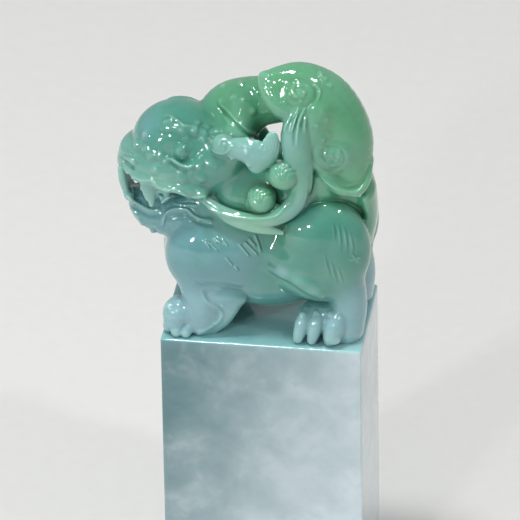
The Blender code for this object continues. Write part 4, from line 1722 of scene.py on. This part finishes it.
@dataclass
class Studio:
    """A pale floor, soft light and the camera.

    Attributes:
        turn: The camera's place round the seal, in degrees.
        rise: Its height above the horizon, in degrees.
        roll: How far it is tipped, in degrees.
        distance: How far it stands from the middle of the column's top.
        shift: How far it is moved right and up.
        lens: Its focal length in millimetres.
        sensor: The width of its sensor in millimetres.
        sweep: The half width of the floor, in metres.
        air: The colour of the light from all around.
        haze: How strong that light is.
        lamps: The softboxes: small ones for the sparkles, then wide ones for the fill.
    """

    turn: float = 8.73
    rise: float = 32.38
    roll: float = -0.94
    distance: float = 1200.0
    shift: tuple[float, float] = (-1.42, 7.64)
    lens: float = 558.7
    sensor: float = 36
    sweep: float = 3
    air: Colour = (0.93, 0.95, 0.96, 1)
    haze: float = 0.46
    lamps: tuple[Lamp, ...] = (
        Lamp("key", (-0.18, -0.10, 1.0), 0.085, 2.3, (1.0, 1.0, 0.98)),
        Lamp("spark", (-0.58, -0.75, 0.33), 0.045, 1.1),
        Lamp("twin", (-0.28, -1.0, 0.62), 0.03, 0.4),
        Lamp("glint", (0.55, -0.35, 0.9), 0.035, 0.6),
        Lamp("front", (-0.35, -1.0, 0.45), 0.9, 1.5, (1.0, 0.99, 0.97), 1.0, False),
        Lamp("rim", (1.0, 0.55, 0.55), 0.7, 1.0, (1.0, 0.98, 0.95), 1.0, False),
    )

    def build(self, origin: Vector, ground: float) -> None:
        """Builds the studio round the seal.

        Args:
            origin: The middle of the column's top face, in metres.
            ground: The height of the floor, in metres.
        """
        self.place_camera(origin)
        self.place_floor(ground)
        for lamp in self.lamps:
            lamp.hang(origin)
        world = bpy.data.worlds.new("studio_air")
        world.use_nodes = True
        air = world.node_tree.nodes["Background"]
        air.inputs["Color"].default_value = self.air
        air.inputs["Strength"].default_value = self.haze
        bpy.context.scene.world = world
        bpy.context.scene.view_settings.view_transform = "Standard"

    def place_camera(self, origin: Vector) -> None:
        """Makes the camera and gives it to the scene.

        Args:
            origin: The middle of the column's top face, in metres.
        """
        turn, rise, roll = (math.radians(a) for a in (self.turn, self.rise, self.roll))
        back = Vector((math.sin(turn) * math.cos(rise), -math.cos(turn) * math.cos(rise), math.sin(rise)))
        right = Vector((math.cos(turn), math.sin(turn), 0))
        up = back.cross(right)
        right, up = right * math.cos(roll) + up * math.sin(roll), up * math.cos(roll) - right * math.sin(roll)
        camera = bpy.data.objects.new("camera", bpy.data.cameras.new("camera"))
        camera.data.sensor_width, camera.data.lens = self.sensor, self.lens
        camera.data.clip_start, camera.data.clip_end = 0.1, 10
        spot = origin + (back * self.distance + right * self.shift[0] + up * self.shift[1]) * MM
        camera.matrix_world = Matrix.Translation(spot) @ Matrix((right, up, back)).transposed().to_4x4()
        bpy.context.scene.collection.objects.link(camera)
        bpy.context.scene.camera = camera

    def place_floor(self, ground: float) -> None:
        """Makes the pale floor.

        Args:
            ground: The height of the floor, in metres.
        """
        form = bmesh.new()
        bmesh.ops.create_grid(form, x_segments=1, y_segments=1, size=self.sweep)
        mesh = bpy.data.meshes.new("floor")
        form.to_mesh(mesh)
        form.free()
        floor = bpy.data.objects.new("floor", mesh)
        floor.location.z = ground
        bpy.context.scene.collection.objects.link(floor)
        mesh.materials.append(Paper().make())


def colour_stone(carving: Carving) -> None:
    """Notes the larger clouds of colour in the stone, and the painted highlight along each haunch's ledge.

    Args:
        carving: The block of stone that is coloured.
    """
    for side in Side:
        for place, radius, shade, strength in (
            ((-17.5, 3, 33.0), 3.5, Shade.SLATE, 0.7),
            ((-10.0, 3, 34.0), 3.2, Shade.TEAL, 0.7),
            ((-9.0, 6, 24.5), 3.4, Shade.DEEP, 0.35),
            ((-14.5, 6, 25.6), 2.2, Shade.SPRING, 0.3),
            ((-14.0, 5, 21.4), 3.0, Shade.SLATE, 0.7),
            ((-17.5, 5, 20.8), 2.4, Shade.FROST, 0.5),
            ((-1.5, 5, 8.0), 4.2, Shade.SLATE, 0.8),
            ((2.5, 5, 7.0), 3.0, Shade.SLATE, 0.8),
            # Painted highlight: these three dabs pale the ledge along the haunch, where its polish catches the light.
            ((3.2, 8, 12.3), 1.5, Shade.MIST, 0.9),
            ((5.6, 8, 11.5), 1.6, Shade.FROST, 1.0),
            ((7.8, 8, 9.8), 1.6, Shade.FROST, 1.0),
            ((9.5, 6, 13.0), 3.0, Shade.SEA, 0.6),
            ((3.5, 6, 19.5), 3.0, Shade.DEEP, 0.5),
            ((12.6, 5, 17.0), 2.4, Shade.SEA, 0.5),
        ):
            carving.dab(side.spot(place), radius, shade, strength)
    carving.dab((-3.0, 0.5, 36.0), 4.2, Shade.DEEP, 0.6)
    carving.dab((-2.5, -6.5, 31.5), 1.8, Shade.MIST, 0.6)
    carving.dab((15.0, 0, 17.0), 2.2, Shade.SPRING, 0.5)


def main() -> None:
    """Carves the seal, dresses it and lights it."""
    logging.basicConfig(level=logging.INFO, format="%(name)s %(message)s")
    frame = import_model()
    low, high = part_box("seal_block")
    origin = Vector(((low.x + high.x) / 2, (low.y + high.y) / 2, high.z))
    carving = Carving(Block(BLOCK_LOW, BLOCK_HIGH, FINE_STEP))
    head = Head()
    groups = (Body(), Tail(), head, Mane())
    for group in groups:
        group.lay(carving)
        LOG.info("%s is laid down", type(group).__name__)
    head.set_beads(carving)
    for group in groups:
        group.finish(carving)
    carving.set_lines()
    carving.trim(SOLE)
    colour_stone(carving)
    slots = [row["slot"] for row in frame["record"]["materials"]]
    finishes = {slot: (IceJade(slot) if slot == "jade_ice" else Jade(slot)).make() for slot in slots}
    settle(Column().build(), "seal_block", "jade_ice", finishes["jade_ice"])
    workshop = Workshop(carving, origin, finishes)
    for index in range(len(carving.members)):
        workshop.release(index)
    Studio().build(origin, low.z)


if __name__ == "__main__":
    main()
